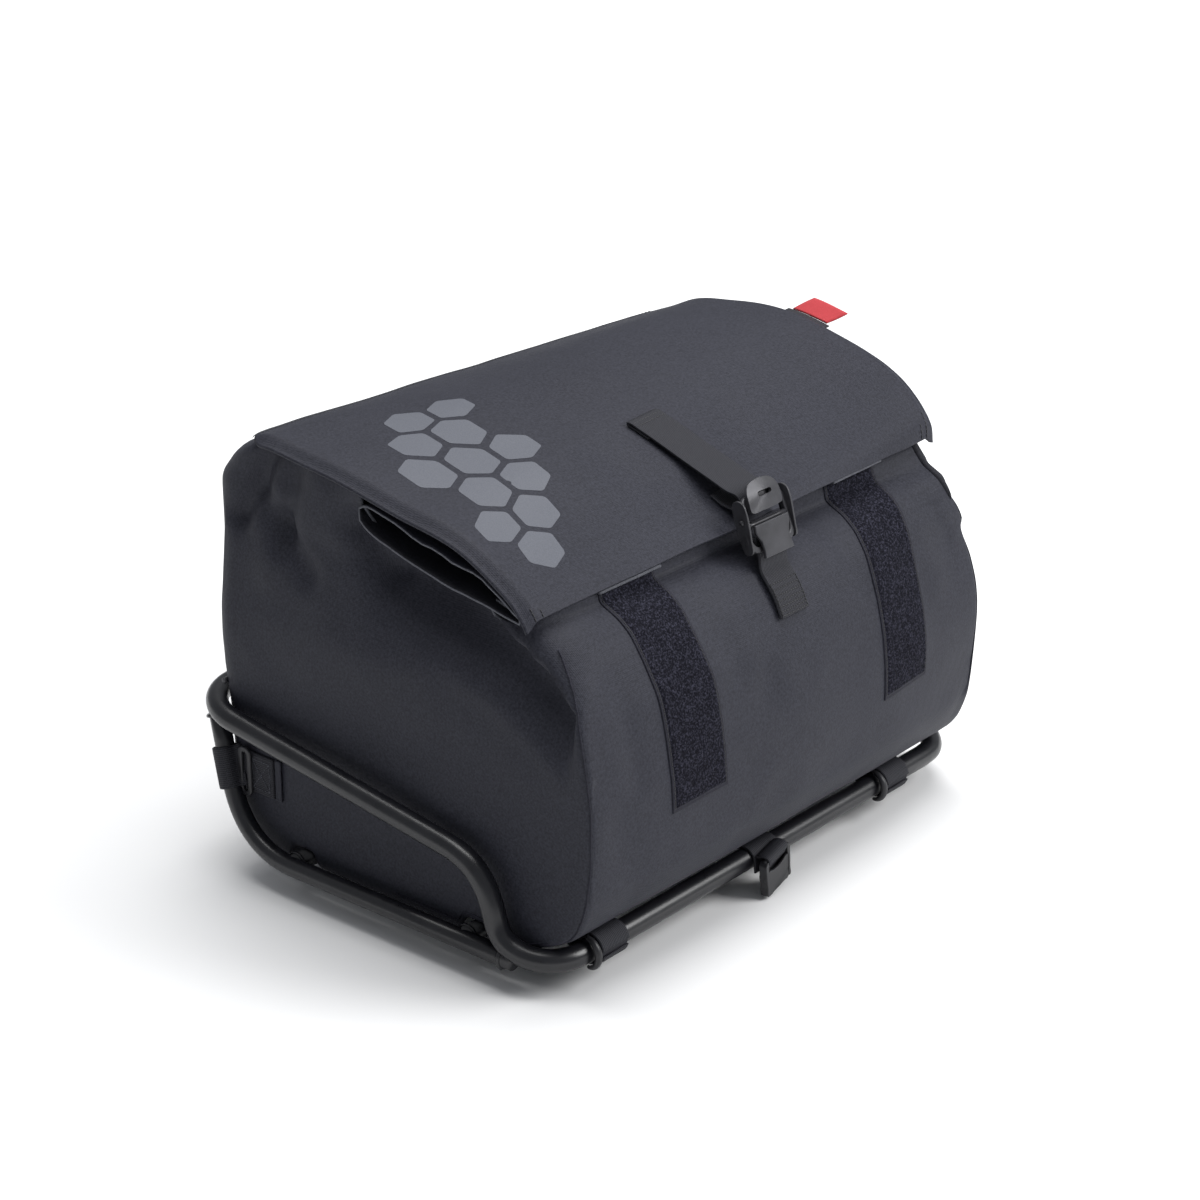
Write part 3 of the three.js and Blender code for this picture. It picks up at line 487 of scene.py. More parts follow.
def loopHalf(sign):
    bend = [(sign * (railX - x * tray["frontBend"]), tray["frontY"] + y * tray["frontBend"],
             tray["loopZ"] + z * tray["frontRise"]) for x, y, z in frontBend]
    front = [(0, tray["frontY"], tray["loopZ"]), (sign * 60, tray["frontY"], tray["loopZ"]),
             (sign * 120, tray["frontY"], tray["loopZ"])]
    smooth = [curvePoint(bend, s) for s in np.linspace(0, 1, 61)]
    rear = []
    for step in range(17):
        angle = step / 16 * math.pi / 2
        rear.append((sign * (railX - tray["rearBend"] * (1 - math.cos(angle))),
                     tray["rearRailY"] - tray["rearBend"] * (1 - math.sin(angle)),
                     tray["loopZ"] + tray["rearRise"] - 5 * (1 - math.sin(angle))))
    last = smooth[-1]
    side = [tuple(np.array(last) + (np.array(rear[0]) - last) * s) for s in (0.25, 0.5, 0.75)]
    back = [(sign * x, tray["rearRailY"], tray["loopZ"] + tray["rearRise"]) for x in (110, 50, 0)]
    return [*front, *[tuple(p) for p in smooth], *side, *rear, *back]


def postTop(sign):
    return np.array((sign * (railX - 0.25 * tray["rearBend"]), tray["rearRailY"] - 0.32 * tray["rearBend"],
                     tray["loopZ"] + tray["rearRise"] - 3))


def postFoot(sign):
    return np.array((sign * railX, tray["rearY"], tray["baseZ"]), float)


def postRoute(sign):
    top, corner = postTop(sign), postFoot(sign)
    front = np.array((sign * railX, tray["frontY"] + 0.75 * tray["frontBend"], tray["baseZ"]))
    reach = 0.8 * tray["postBend"]
    a = corner + (front - corner) * reach / np.linalg.norm(front - corner)
    b = corner + (top - corner) * reach / np.linalg.norm(top - corner)
    bend = [a * (1 - s) ** 2 + corner * 2 * s * (1 - s) + b * s * s for s in np.linspace(0, 1, 25)]
    return [front, front + (a - front) * 0.5, *bend, b + (top - b) * 0.5, top]


# Weld bead round the place where one tube runs into another
def beadShape(center, axis, ring, radius, seed):
    axis = unit(np.array(axis, float))
    side = unit(np.cross(axis, (0.3, 0.2, 1)))
    other = np.cross(axis, side)
    path = []
    for step in range(48):
        angle = step / 48 * 2 * math.pi
        swell = ring * (1 + 0.03 * math.sin(angle * 14 + seed))
        path.append(np.array(center) + swell * (math.cos(angle) * side + math.sin(angle) * other))
    return tubeShape(path, radius, 8, closed=True)


def addTray():
    left, right = loopHalf(-1), loopHalf(1)
    loop = left + right[-2:0:-1]
    shapes = [tubeShape(loop, tray["loop"] / 2, 28, closed=True)]
    shapes += [tubeShape(postRoute(sign), tray["base"] / 2, 24) for sign in (-1, 1)]
    for y in crossPlaces:
        shapes.append(tubeShape([(x, y, tray["baseZ"]) for x in np.linspace(-railX, railX, 9)], tray["base"] / 2, 24))
        for sign in (-1, 1):
            shapes.append(beadShape((sign * (railX - 5.6), y, tray["baseZ"]), (1, 0, 0), 6.3, 1.1, y))
    for sign in (-1, 1):
        top, foot = postTop(sign), postFoot(sign)
        lean = unit(top - foot)
        shapes.append(beadShape(top - lean * 7.2, lean, 6.5, 1.2, sign))
        front = (sign * railX, tray["frontY"] + 0.75 * tray["frontBend"] + 7, tray["baseZ"])
        shapes.append(beadShape(front, (0, 1, 0), 6.3, 1.3, 2 + sign))
    frameTubes = addJoined("tray_tubes", shapes, "tube", "tube")
    for side, sign in (("left", -1), ("right", 1)):
        middle = Vector((sign * 75, sum(crossPlaces) / 2, 9))
        length = crossPlaces[1] - crossPlaces[0] + 30
        turn = Matrix.Translation(middle - Vector((0, length / 2, 0))) @ Matrix.Rotation(math.radians(-90), 4, "X")
        addPlate("deck_bar_" + side, roundedLoop(30, 18, 2.2, 5), roundedLoop(26, 14, 1.2, 5), length, turn,
                 "tube", "tube", 0.4)
    # Small rivet head on the end panel by each rear post
    pins = [tubeShape([(sign * x, 147, 122) for x in (188, 191.5, 193.2)], 1.9, 18) for sign in (-1, 1)]
    rivets = addJoined("side_rivets", pins, "metal", "metal")
    apply(rivets, "BEVEL", width=0.0009, segments=3, limit_method="ANGLE")
    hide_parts("tray_frame")
    print("tray made")


addTray()


# Bag: sections at heights as shares of its height, with the reach of the front, its belly, the back and the side

bag = {"width": 392, "front": 147, "back": 155, "height": 284, "bottom": 27.4, "wall": 1.8,
       "frontCorner": 5.5, "backCorner": 20, "rimFall": 0.035, "sag": 9,
       "frontSteps": 70, "sideSteps": 100, "backSteps": 48, "cornerSteps": 10}
bagRows = [  # height, front, belly, back, side, front corner, rear corner
    (0, 0.717, 0, 0.83, 0.972, 0.8, 0.4), (0.006, 0.766, 0, 0.85, 0.982, 1.1, 0.45),
    (0.02, 0.821, 0, 0.865, 0.985, 1.2, 0.5), (0.044, 0.89, 0.014, 0.885, 0.986, 1.2, 0.5),
    (0.076, 0.934, 0.034, 0.91, 0.987, 1.1, 0.55), (0.15, 0.979, 0.062, 0.945, 0.988, 1, 0.75),
    (0.249, 0.997, 0.062, 0.975, 0.989, 1, 1), (0.326, 1, 0.055, 0.994, 0.99, 1, 1),
    (0.379, 0.993, 0.048, 1, 0.995, 1, 1), (0.499, 0.962, 0.028, 1, 1, 1, 1), (0.569, 0.924, 0.007, 1, 0.99, 1, 1),
    (0.625, 0.855, 0, 1, 0.98, 1, 1), (0.654, 0.786, 0, 1, 0.975, 1, 1), (0.682, 0.69, 0, 1, 0.97, 1, 1),
    (0.787, 0.662, 0, 1, 0.965, 1, 1), (0.837, 0.655, 0, 0.948, 0.96, 1, 1), (0.872, 0.655, 0, 0.871, 0.96, 1, 1),
    (0.896, 0.655, 0, 0.768, 0.955, 1, 1), (0.905, 0.655, 0, 0.684, 0.955, 1, 1)]
rimRows = [(-1, 0.682), (-0.8, 0.678), (-0.5, 0.689), (0, 0.727), (0.14, 0.755), (0.18, 0.8), (0.22, 0.858),
           (0.3, 0.87), (0.4, 0.878), (0.6, 0.886), (0.8, 0.893), (1, 0.905)]
endDents = [(-0.2, 0.655, 0.42, 0.1, 12), (-0.78, 0.53, 0.12, 0.06, 6)]
frontDents = [(-0.5, 0.587, 0.35, 0.07, 4), (1, 0.675, 0.35, 0.04, -9), (1, 0.52, 0.4, 0.09, 6)]
# Folds: from and to in mm on the panel, how deep (out with a minus sign) and how broad
endFolds = [((34, 246), (16, 224), 13, 12), ((100, 283), (131, 232), 8.0, 8), ((84, 278), (96, 226), 6.0, 9),
            ((112, 250), (74, 210), 5.0, 9), ((60, 262), (104, 205), -2.2, 12), ((-30, 190), (60, 150), -2.6, 26),
            ((-60, 120), (70, 95), 1.8, 24), ((40, 226), (110, 236), 1.8, 9), ((-100, 150), (-40, 172), 1.6, 14)]
floorRows = [(0.2, 0), (0.45, 0), (0.7, 0), (0.9, 0.3)]      # size and sag of the rings in the bag's floor
# Where the folded corner overhangs the end panel, from under the roll to the knee at the front corner
endRidge = [(6, 243), (-34, 233), (-72, 220), (-104, 202), (-130, 184)]
frontFolds = [((-160, 190), (-154, 130), 1.8, 9), ((-70, 205), (-58, 168), 1.8, 10), ((-20, 196), (-34, 150), 1.6, 12),
              ((60, 210), (72, 176), 1.6, 9), ((138, 205), (150, 160), -1.4, 12), ((-172, 110), (-150, 60), 1.3, 14),
              ((-60, 60), (60, 46), 1.3, 12), ((90, 80), (170, 60), -1.2, 16)]


def sectionAt(height, column):
    return readSmooth([row[0] for row in bagRows], [row[column] for row in bagRows], height)


def dentAt(dents, place, height):
    return sum(d * np.exp(-(((place - p) / r) ** 2) - ((height - h) / s) ** 2) for p, h, r, s, d in dents)


def foldAt(folds, first, second):
    total = np.zeros(np.shape(first))
    for a, b, depth, width in folds:
        run = (b[0] - a[0], b[1] - a[1])
        share = np.clip(((first - a[0]) * run[0] + (second - a[1]) * run[1]) / (run[0] ** 2 + run[1] ** 2), 0, 1)
        away = np.hypot(first - a[0] - share * run[0], second - a[1] - share * run[1])
        total = total + depth * np.exp(-(away / width) ** 2)
    return total


# How far the end panel is tucked in below its ridge, with a sharp upper border
def tuckAt(y, z):
    line = np.array(endRidge, float)[::-1]
    edge = np.interp(y, line[:, 0], line[:, 1])
    below = edge - z
    along = smoothStep(y, -138, -124) * (1 - smoothStep(y, -6, 26))
    under = smoothStep(below, -1.5, 7) * (1 - smoothStep(below, 8, 52))
    over = np.clip(-below * 0.7, 0, 17)
    return along * (16 * under + over)


def frontReach(height, side):
    smooth = bag["front"] * (sectionAt(height, 1) + sectionAt(height, 2) * (1 - side ** 2))
    return smooth - dentAt(frontDents, side, height)


def bagZ(height):
    return bag["bottom"] + height * bag["height"]


def bagOutline(swell, rear, leftRound):
    half, depth = bag["width"] / 2, (bag["front"] + bag["back"]) / 2
    straight = (bag["frontSteps"], bag["sideSteps"], bag["backSteps"], bag["sideSteps"])
    corner = bag["cornerSteps"]
    front, back = bag["frontCorner"] * swell, bag["backCorner"] * rear
    radiusAt = {(1, -1): front, (-1, -1): front * leftRound, (1, 1): back, (-1, 1): back}
    corners = [(1, -1), (1, 1), (-1, 1), (-1, -1)]
    points = []
    for number, (sx, sy) in enumerate(corners):
        radius = radiusAt[sx, sy]
        for step in range(corner + 1):
            angle = (number - 1 + step / corner) * math.pi / 2
            points.append((sx * (half - radius) + radius * math.cos(angle),
                           sy * (depth - radius) + radius * math.sin(angle)))
        nx, ny = corners[(number + 1) % 4]
        endX = nx * (half - (radiusAt[nx, ny] if sy == ny else 0))
        endY = ny * (depth - (radiusAt[nx, ny] if sx == nx else 0))
        startX, startY = points[-1]
        steps = straight[(number + 1) % 4]
        for step in range(1, steps):
            points.append((startX + (endX - startX) * step / steps, startY + (endY - startY) * step / steps))
    return np.array(points) / (half, depth)


# Extra height of the front wall's rim, which the flap's hem hides, towards the right
def rimLift(side):
    return 0.058 + 0.0325 * side - 0.0075 * side ** 2


def frontShare(level, x):
    return level / (rimRows[0][1] + rimLift(x / (bag["width"] / 2)))


def bagRing(share):
    rim = np.array(rimRows)
    leftRound = 1 + 7.5 * float(smoothStep(share * 0.71, 0.5, 0.68))
    x, y = bagOutline(float(sectionAt(share * 0.727, 5)), float(sectionAt(share * 0.727, 6)), leftRound).T
    level = share * (readSmooth(rim[:, 0], rim[:, 1], y) + rimLift(x) * smoothStep(-y, 0.86, 0.97))
    fall = share * bag["rimFall"] * np.maximum(0, y) * (x + 1) / 2
    half = bag["width"] / 2 * sectionAt(level, 4)
    depth = np.where(y < 0, frontReach(level, x), bag["back"] * sectionAt(level, 3))
    points = np.column_stack([x * half, y * depth, bagZ(level - fall)])
    onEnd = np.maximum(0, np.abs(x) * 8 - 7)
    points[:, 0] -= np.sign(x) * onEnd * dentAt(endDents, y, level)
    softEnd = np.where(x < 0, 1.0, 0.6) * smoothStep(np.abs(x), 0.955, 0.995) * smoothStep(-np.abs(y), -0.985, -0.93)
    points[:, 0] -= np.sign(x) * softEnd * foldAt(endFolds, points[:, 1], points[:, 2])
    tucked = smoothStep(np.abs(x), 0.955, 0.998) * np.where(x < 0, 1.0, 0.7)
    points[:, 0] -= np.sign(x) * tucked * tuckAt(points[:, 1], points[:, 2])
    softFront = smoothStep(-y, 0.9, 0.99) * smoothStep(-np.abs(x), -0.97, -0.88)
    points[:, 1] += softFront * foldAt(frontFolds, points[:, 0], points[:, 2])
    # The lower edges of the end panels hang down between the cross tubes
    clear = 1
    for place in crossPlaces:
        clear = clear * smoothStep(np.abs(points[:, 1] - place), 7, 14)
    clear *= smoothStep(points[:, 1], -112, -88) * (1 - smoothStep(points[:, 1], 118, 132))
    hang = smoothStep(np.abs(points[:, 0]), 158, 186) * (1 - smoothStep(level, 0, 0.075))
    points[:, 2] -= bag["sag"] * clear * hang
    return points


def addBag():
    shares = np.concatenate([np.linspace(0, 0.03, 9)[:-1], np.linspace(0.03, 0.13, 11)[:-1],
                             np.linspace(0.13, 0.78, 56)[:-1], np.linspace(0.78, 1, 34)])
    rings = [bagRing(share) for share in shares]
    low = rings[0] - (0, 0, bag["bottom"])
    floorRings = [low * (scale, scale, hang) + (0, 0, bag["bottom"]) for scale, hang in floorRows]
    rings = floorRings + rings
    count = len(rings[0])
    points = np.concatenate(rings)
    for n, point in enumerate(points):
        calm = float(smoothStep(point[2], bag["bottom"] + 1, bag["bottom"] + 30))
        push = (ripple(point, 70, 1.5, 3.1) + ripple(point, 26, 0.5, 7.7)) * calm
        if abs(point[0]) > abs(point[1]) * bag["width"] / 2 / 150:
            points[n, 0] -= math.copysign(push + 0.4 * calm, point[0])
        else:
            points[n, 1] -= math.copysign(push + 0.4 * calm, point[1])
    middle = len(points)
    points = np.vstack([points, [[0, 0, bag["bottom"]]]])
    faces = gridFaces(len(rings), count, around=True)
    faces += [(middle, (n + 1) % count, n) for n in range(count)]
    shell = addMesh("bag_shell", points, faces, "fabric", "fabric", others=("inside", "edge"))
    apply(shell, "SOLIDIFY", thickness=bag["wall"] / 1000, offset=-1, use_rim=True,
          material_offset=1, material_offset_rim=2)
    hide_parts("bag_body")
    return points[:-1].reshape(len(rings), count, 3), shares


bagRings, bagShares = addBag()
print("bag shell made")


# Seams: a fine sewn line down each front corner and round the foot of each end panel
def seamPoint(ring, index, lift):
    before, after = ring[index - 1], ring[(index + 1) % len(ring)]
    run = unit(after - before)
    out = unit(np.array((run[1], -run[0], 0)))
    return ring[index] + out * lift


def addSeams():
    rings = bagRings[len(floorRows):]
    middle = bag["cornerSteps"] // 2
    frontRight, frontLeft = middle, 3 * bag["cornerSteps"] + bag["backSteps"] + 2 * bag["sideSteps"] + middle
    shapes = []
    for index in (frontRight, frontLeft):
        path = [seamPoint(ring, index, 0.25) for ring, share in zip(rings, bagShares) if 0.055 < share < 0.93]
        level = next(n for n, share in enumerate(bagShares) if share > 0.02)
        step = 1 if index == frontRight else -1
        along = [seamPoint(rings[level], index + step * n, 0.25) for n in range(8, 60, 2)]
        bend = evenCurve([along[0], path[0]], 3)[1:-1]
        path = along[::-1] + list(bend) + path
        shapes.append(tubeShape(evenCurve(path, 2.5), 0.55, 8))
    addJoined("end_seams", shapes, "tapeEdge", "fabric")


addSeams()


# Flap: edges and middle from its seam over the back to the front hem, as shares of the bag's reach and height

flap = {"width": 380, "thick": 2.0, "sheet": 0.0017, "mapLength": 330, "drop": 5.2,
        "backRadius": 22, "backRun": 176}
flapHalf = flap["width"] / 2
flapRows = [  # left y, z, middle y, z, right y, z
    (0.8, 0.894, 0.8, 0.877, 0.787, 0.861), (0.684, 0.909, 0.677, 0.895, 0.645, 0.893),
    (0.503, 0.9, 0.503, 0.911, 0.49, 0.93), (0.327, 0.885, 0.323, 0.914, 0.335, 0.942),
    (0.023, 0.855, 0.032, 0.895, 0.045, 0.949), (-0.286, 0.825, -0.163, 0.872, -0.272, 0.916),
    (-0.449, 0.785, -0.408, 0.823, -0.469, 0.881), (-0.592, 0.736, -0.571, 0.77, -0.602, 0.837),
    (-0.643, 0.706, -0.69, 0.738, -0.704, 0.773), (-0.663, 0.69, -0.73, 0.72, -0.718, 0.731)]
flapCurves = [[(0, row[2 * k] * (bag["front"] if row[2 * k] < 0 else bag["back"]), bagZ(row[2 * k + 1]))
               for row in flapRows] for k in range(3)]


def flapPoint(along, across):
    left, middle, right = (curvePoint(curve, along) for curve in flapCurves)
    point = (left * across * (across - 1) / 2 + middle * (1 - across * across) + right * across * (across + 1) / 2)
    point[0] = across * flapHalf
    return point


def flapNormal(along, across):
    down = flapPoint(min(along + 0.004, 1), across) - flapPoint(max(along - 0.004, 0), across)
    side = flapPoint(along, min(across + 0.01, 1)) - flapPoint(along, max(across - 0.01, -1))
    return unit(np.cross(down, side))


# Point on the flap's outer face, lifted off it
def onFlap(along, across, lift=0.0):
    return flapPoint(along, across) + flapNormal(along, across) * (flap["thick"] + lift) + flapShape(along, across)


flapFolds = [((0.62, -0.25), (0.9, -0.1), 1.0, 0.09), ((0.6, 0.3), (0.88, 0.12), 0.8, 0.09),
             ((0.2, -0.9), (0.35, -0.5), 1.0, 0.12), ((0.5, -0.95), (0.62, -0.6), 1.0, 0.1),
             ((0.25, 0.5), (0.5, 0.9), -0.8, 0.16)]


# Small shape of the cloth: soft folds, and side edges that turn down
def flapShape(along, across):
    drop = float(smoothStep(abs(across), 0.955, 1.0)) * flap["drop"]
    out = math.copysign(float(smoothStep(abs(across), 0.95, 1.0)), across)
    low = -float(foldAt(flapFolds, np.array(along), np.array(across))) - drop
    place = (across * flapHalf, along * flap["mapLength"], 0)
    low += ripple(place, 60, 0.8, 1.7) + ripple(place, 22, 0.22, 5.2)
    return np.array((out, 0, low))


# Share of the flap's width at its back corners, which are round
def backRound(along):
    down = min(flap["backRun"] * along / flap["backRadius"], 1)
    return 1 - flap["backRadius"] / flapHalf * (1 - math.sqrt(1 - (1 - down) ** 2))


def addFlap():
    alongs = np.linspace(0, 1, 150)
    acrosses = np.concatenate([np.linspace(-1, -0.92, 12)[:-1], np.linspace(-0.92, 0.92, 110),
                               np.linspace(0.92, 1, 12)[1:]])
    points = np.array([[onFlap(a, c * backRound(a)) for c in acrosses] for a in alongs])
    faces = [face[::-1] for face in gridFaces(*points.shape[:2])]
    sewn = [(c * flapHalf, a * flap["mapLength"]) for a in alongs for c in acrosses]
    sheet = addMesh("flap_cloth", points, faces, "fabric", "fabric", sewn, others=("inside", "edge"))
    apply(sheet, "SOLIDIFY", thickness=flap["sheet"], offset=-1, use_rim=True, material_offset=1, material_offset_rim=0)
    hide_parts("flap")
    return sheet


flapCloth = addFlap()
print("flap made")


# Printed motif: a patch of rounded cells that lies on the flap

motif = {"cell": 16, "gap": 4.5, "corner": 4, "middle": (0.44, -0.62), "turn": 9, "lift": 0.14, "sunk": -0.25,
         "cells": [(1, -2), (2, -2), (0, -1), (1, -1), (-1, 0), (0, 0), (1, 0), (-1, 1), (0, 1), (-2, 2), (-1, 2),
                   (-2, 3)]}
# Distance in mm from the flap's back edge along its middle, at eleven even shares
flapFar = [0, 17.6, 41.6, 66.2, 102.5, 135.5, 165.6, 197.8, 221.5, 237.8, 244.7]
flapShares = np.linspace(0, 1, 11)


# Outline of one cell round its middle: six rounded corners
def motifCell():
    outline = []
    for corner in range(6):
        angle = 60 * corner + 30
        tip = np.array((math.cos(math.radians(angle)), math.sin(math.radians(angle)))) * motif["cell"]
        tip *= 1 - motif["corner"] * 1.155 / motif["cell"]
        for bend in np.radians(np.linspace(-30, 30, 6) + angle):
            outline.append(tip + motif["corner"] * np.array((math.cos(bend), math.sin(bend))))
    return outline


def addMotif():
    points, faces, sewn = [], [], []
    step = motif["cell"] * math.sqrt(3) + motif["gap"]
    centerDown = float(np.interp(motif["middle"][0], flapShares, flapFar))
    centerX = motif["middle"][1] * flapHalf
    turn = math.radians(motif["turn"])
    outline = motifCell()
    count = len(outline)
    rings = [(0.0, motif["lift"]), (0.34, motif["lift"]), (0.67, motif["lift"]), (1.0, motif["lift"]),
             (1.0, motif["lift"]), (1.0, motif["sunk"])]
    for column, row in motif["cells"]:
        start = len(points)
        for scale, lift in rings:
            for x, y in outline if scale else [(0, 0)]:
                x, y = (column + row / 2) * step + x * scale, row * step * math.sqrt(3) / 2 + y * scale
                px = centerX + x * math.cos(turn) - y * math.sin(turn)
                py = centerDown + x * math.sin(turn) + y * math.cos(turn)
                points.append(onFlap(float(np.interp(py, flapFar, flapShares)), px / flapHalf, lift))
                sewn.append((px, py))
        for n in range(count):
            faces.append((start, start + 1 + n, start + 1 + (n + 1) % count))
            for ring in (0, 1, 3):
                low = start + 1 + ring * count
                faces.append((low + n, low + count + n, low + count + (n + 1) % count, low + (n + 1) % count))
    return addMesh("flap_motif", points, faces, "motif", "fabric", sewn)


addMotif()


# Closed skin between two lifts off a grid of surface points
def skinShape(points, normals, lower, upper):
    points, normals = np.array(points, float), np.array(normals, float)
    rows, columns = points.shape[:2]
    top = points + normals * (upper[..., None] if np.ndim(upper) else upper)
    bottom = points + normals * lower
    faces = gridFaces(rows, columns)
    count = rows * columns
    faces += [tuple(n + count for n in reversed(face)) for face in gridFaces(rows, columns)]
    edge = ([(0, c) for c in range(columns)] + [(r, columns - 1) for r in range(1, rows)]
            + [(rows - 1, c) for c in range(columns - 2, -1, -1)] + [(r, 0) for r in range(rows - 2, 0, -1)])
    ids = [r * columns + c for r, c in edge]
    for a, b in zip(ids, ids[1:] + ids[:1]):
        faces.append((b, a, a + count, b + count))
    return np.concatenate([top.reshape(-1, 3), bottom.reshape(-1, 3)]), faces


# Front panel as a grid from left to right, for what is sewn on it
frontStart = bagRings.shape[1] - bag["frontSteps"]
frontColumns = [*range(frontStart, bagRings.shape[1]), 0]
frontGrid = np.array([ring[frontColumns] for ring in bagRings[len(floorRows):]])


def frontPoint(share, x):
    row = np.interp(share, bagShares, np.arange(len(bagShares)))
    low = min(int(row), len(bagShares) - 2)
    ends = []
    for n in (low, low + 1):
        line = frontGrid[n]
        ends.append(np.array((x, np.interp(x, line[:, 0], line[:, 1]), np.interp(x, line[:, 0], line[:, 2]))))
    return ends[0] + (ends[1] - ends[0]) * (row - low)


def frontNormal(share, x):
    up = frontPoint(min(share + 0.01, 1), x) - frontPoint(share - 0.01, x)
    side = frontPoint(share, x + 2) - frontPoint(share, x - 2)
    return unit(np.cross(side, up))


tape = {"width": 49, "spacing": 215, "lean": 5, "foot": 0.266, "thick": 1.7, "border": 3.0, "side": 0.54,
        "run": 190, "cloth": 0.75}


# Distance in mm from the nearest edge of a tape
def tapeInner(across, share, foot):
    return min((1 - abs(across)) * tape["width"] / 2, (share - foot) * tape["run"])


# Middle of a tape at a share of the front wall, which leans inwards on its way down
def tapeMiddle(share, rim):
    return tape["spacing"] / 2 - tape["lean"] * (rim - share * rim) / (rim - tape["foot"])


def addTape(side, sign):
    rim = rimRows[0][1] + rimLift(sign * tape["side"])
    shares, acrosses = np.linspace(1.0, tape["foot"] / rim, 150), np.linspace(-1, 1, 58)
    points, normals, upper, sewn, border = [], [], [], [], []
    for share in shares:
        for across in acrosses:
            x = sign * tapeMiddle(share, rim) + across * tape["width"] / 2
            points.append(frontPoint(share, x))
            normals.append(frontNormal(share, x))
            inner, height = tapeInner(across, share, shares[-1]), points[-1][2]
            pile = float(smoothStep(inner, tape["border"] - 0.8, tape["border"] + 0.8))
            fuzz = ripple((x, height, 0), 1.3, 0.55, 2.2) + ripple((x, height, 0), 4.5, 0.35, 9.1)
            stitch = -0.22 * math.exp(-((inner - tape["border"] * 0.62) / 0.35) ** 2)
            upper.append(tape["cloth"] + stitch + pile * (tape["thick"] - 0.85 + fuzz))
            sewn.append((across * tape["width"] / 2, share * tape["run"]))
    size = (len(shares), len(acrosses))
    shape, faces = skinShape(np.reshape(points, (*size, 3)), np.reshape(normals, (*size, 3)), -0.5,
                             np.reshape(upper, size))
    for share in shares[:-1]:
        for left, right in zip(acrosses[:-1], acrosses[1:]):
            border.append(1 if tapeInner((left + right) / 2, share, shares[-1]) < tape["border"] else 0)
    border += [1] * (len(faces) - len(border))
    made = addMesh("loop_tape_" + side, shape, faces, "tape", "tape", sewn * 2, others=("tapeEdge",), faceFinish=border)
    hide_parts("loop_strip_" + side)
    seam = []
    for edge in (-1, 1):
        line, outs = [], []
        for share in np.linspace(0.97, tape["foot"] / rim + 0.01, 40):
            x = sign * tapeMiddle(share, rim) + edge * (tape["width"] / 2 - tape["border"] * 0.6)
            outs.append(frontNormal(share, x))
            line.append(frontPoint(share, x) + outs[-1] * 0.62)
        seam += stitchShapes(line, outs, 3.0, 0.22)
    addJoined("tape_stitches_" + side, seam, "thread", "tape")
    # Edge of the hook tape that peeps out below the flap's hem
    points, normals = [], []
    for share in (0.93, 0.96, 0.985, 1.0, 1.04):
        for across in np.linspace(-1, 1, 24):
            c = (sign * tape["spacing"] / 2 + across * (tape["width"] / 2 + 1)) / flapHalf
            end = flapPoint(min(share, 1), c)
            if share > 1:
                end = end + unit(flapPoint(1, c) - flapPoint(0.97, c)) * 1.3
            normals.append(flapNormal(min(share, 1), c))
            points.append(end + flapShape(min(share, 1), c))
    shape, faces = skinShape(np.reshape(points, (5, 24, 3)), np.reshape(normals, (5, 24, 3)), -1.3, 0.25)
    addMesh("hook_tape_" + side, shape, faces, "edge", "tape")


addTape("left", -1)
addTape("right", 1)
print("tapes made")


# Roll: the mouth of the bag, rolled flat under the flap and open at both ends

roll = {"half": 188, "wall": 1.3}
rollRows = [(0.2, 0.795, 0.826), (0.16, 0.778, 0.836), (-0.068, 0.739, 0.803), (-0.156, 0.727, 0.791),
            (-0.34, 0.711, 0.77), (-0.415, 0.703, 0.761), (-0.585, 0.686, 0.708), (-0.626, 0.6825, 0.698)]


def rollRing(across, inset=0.0, count=26):
    places = np.array([(y * (bag["front"] if y < 0 else bag["back"]), low, high) for y, low, high in rollRows])[::-1]
    share = (1 - np.cos(np.linspace(0, math.pi, count))) / 2
    ys = places[0, 0] + (places[-1, 0] - places[0, 0]) * share
    lower = readSmooth(places[:, 0], places[:, 1], ys)
    upper = readSmooth(places[:, 0], places[:, 2], ys)
    roof = 1 + 0.5 * (across + 1) / 2 * np.clip((0.25 - ys / bag["front"]) * 1.4, 0, 1)
    low, high = bagZ(lower), bagZ(lower) + (upper - lower) * bag["height"] * roof
    # Towards the right the roll fills the space up to the flap
    under = np.array([flapPoint(a, across * roll["half"] / flapHalf) for a in np.linspace(0.25, 1, 40)])[::-1]
    full = np.interp(ys, under[:, 1], under[:, 2]) - 2.5
    ends = np.sqrt(np.clip((ys - ys[0]) / 16, 0, 1)) * np.sqrt(np.clip((ys[-1] - ys) / 22, 0, 1))
    high = high + np.maximum(full - high, 0) * ends * ((across + 1) / 2) ** 0.8
    if inset:
        middle = (low + high) / 2
        thin = np.minimum(inset, (high - low) / 2 - 0.3)
        low, high = np.minimum(middle, low + thin), np.maximum(middle, high - thin)
    x = across * (roll["half"] - inset * 0.9)
    near = float(smoothStep(abs(across), 0.75, 1.0))
    ring = []
    for y, z in list(zip(ys, high))[::-1] + list(zip(ys, low))[1:-1]:
        z += ripple((x, y, z), 17, 1.5 * near, 4.4 + inset) + ripple((x, y, z), 46, 1.1, 6.1)
        ring.append((x + near * math.copysign(ripple((0, y, z), 24, 1.8, 3.3), x), y, z))
    return np.array(ring)


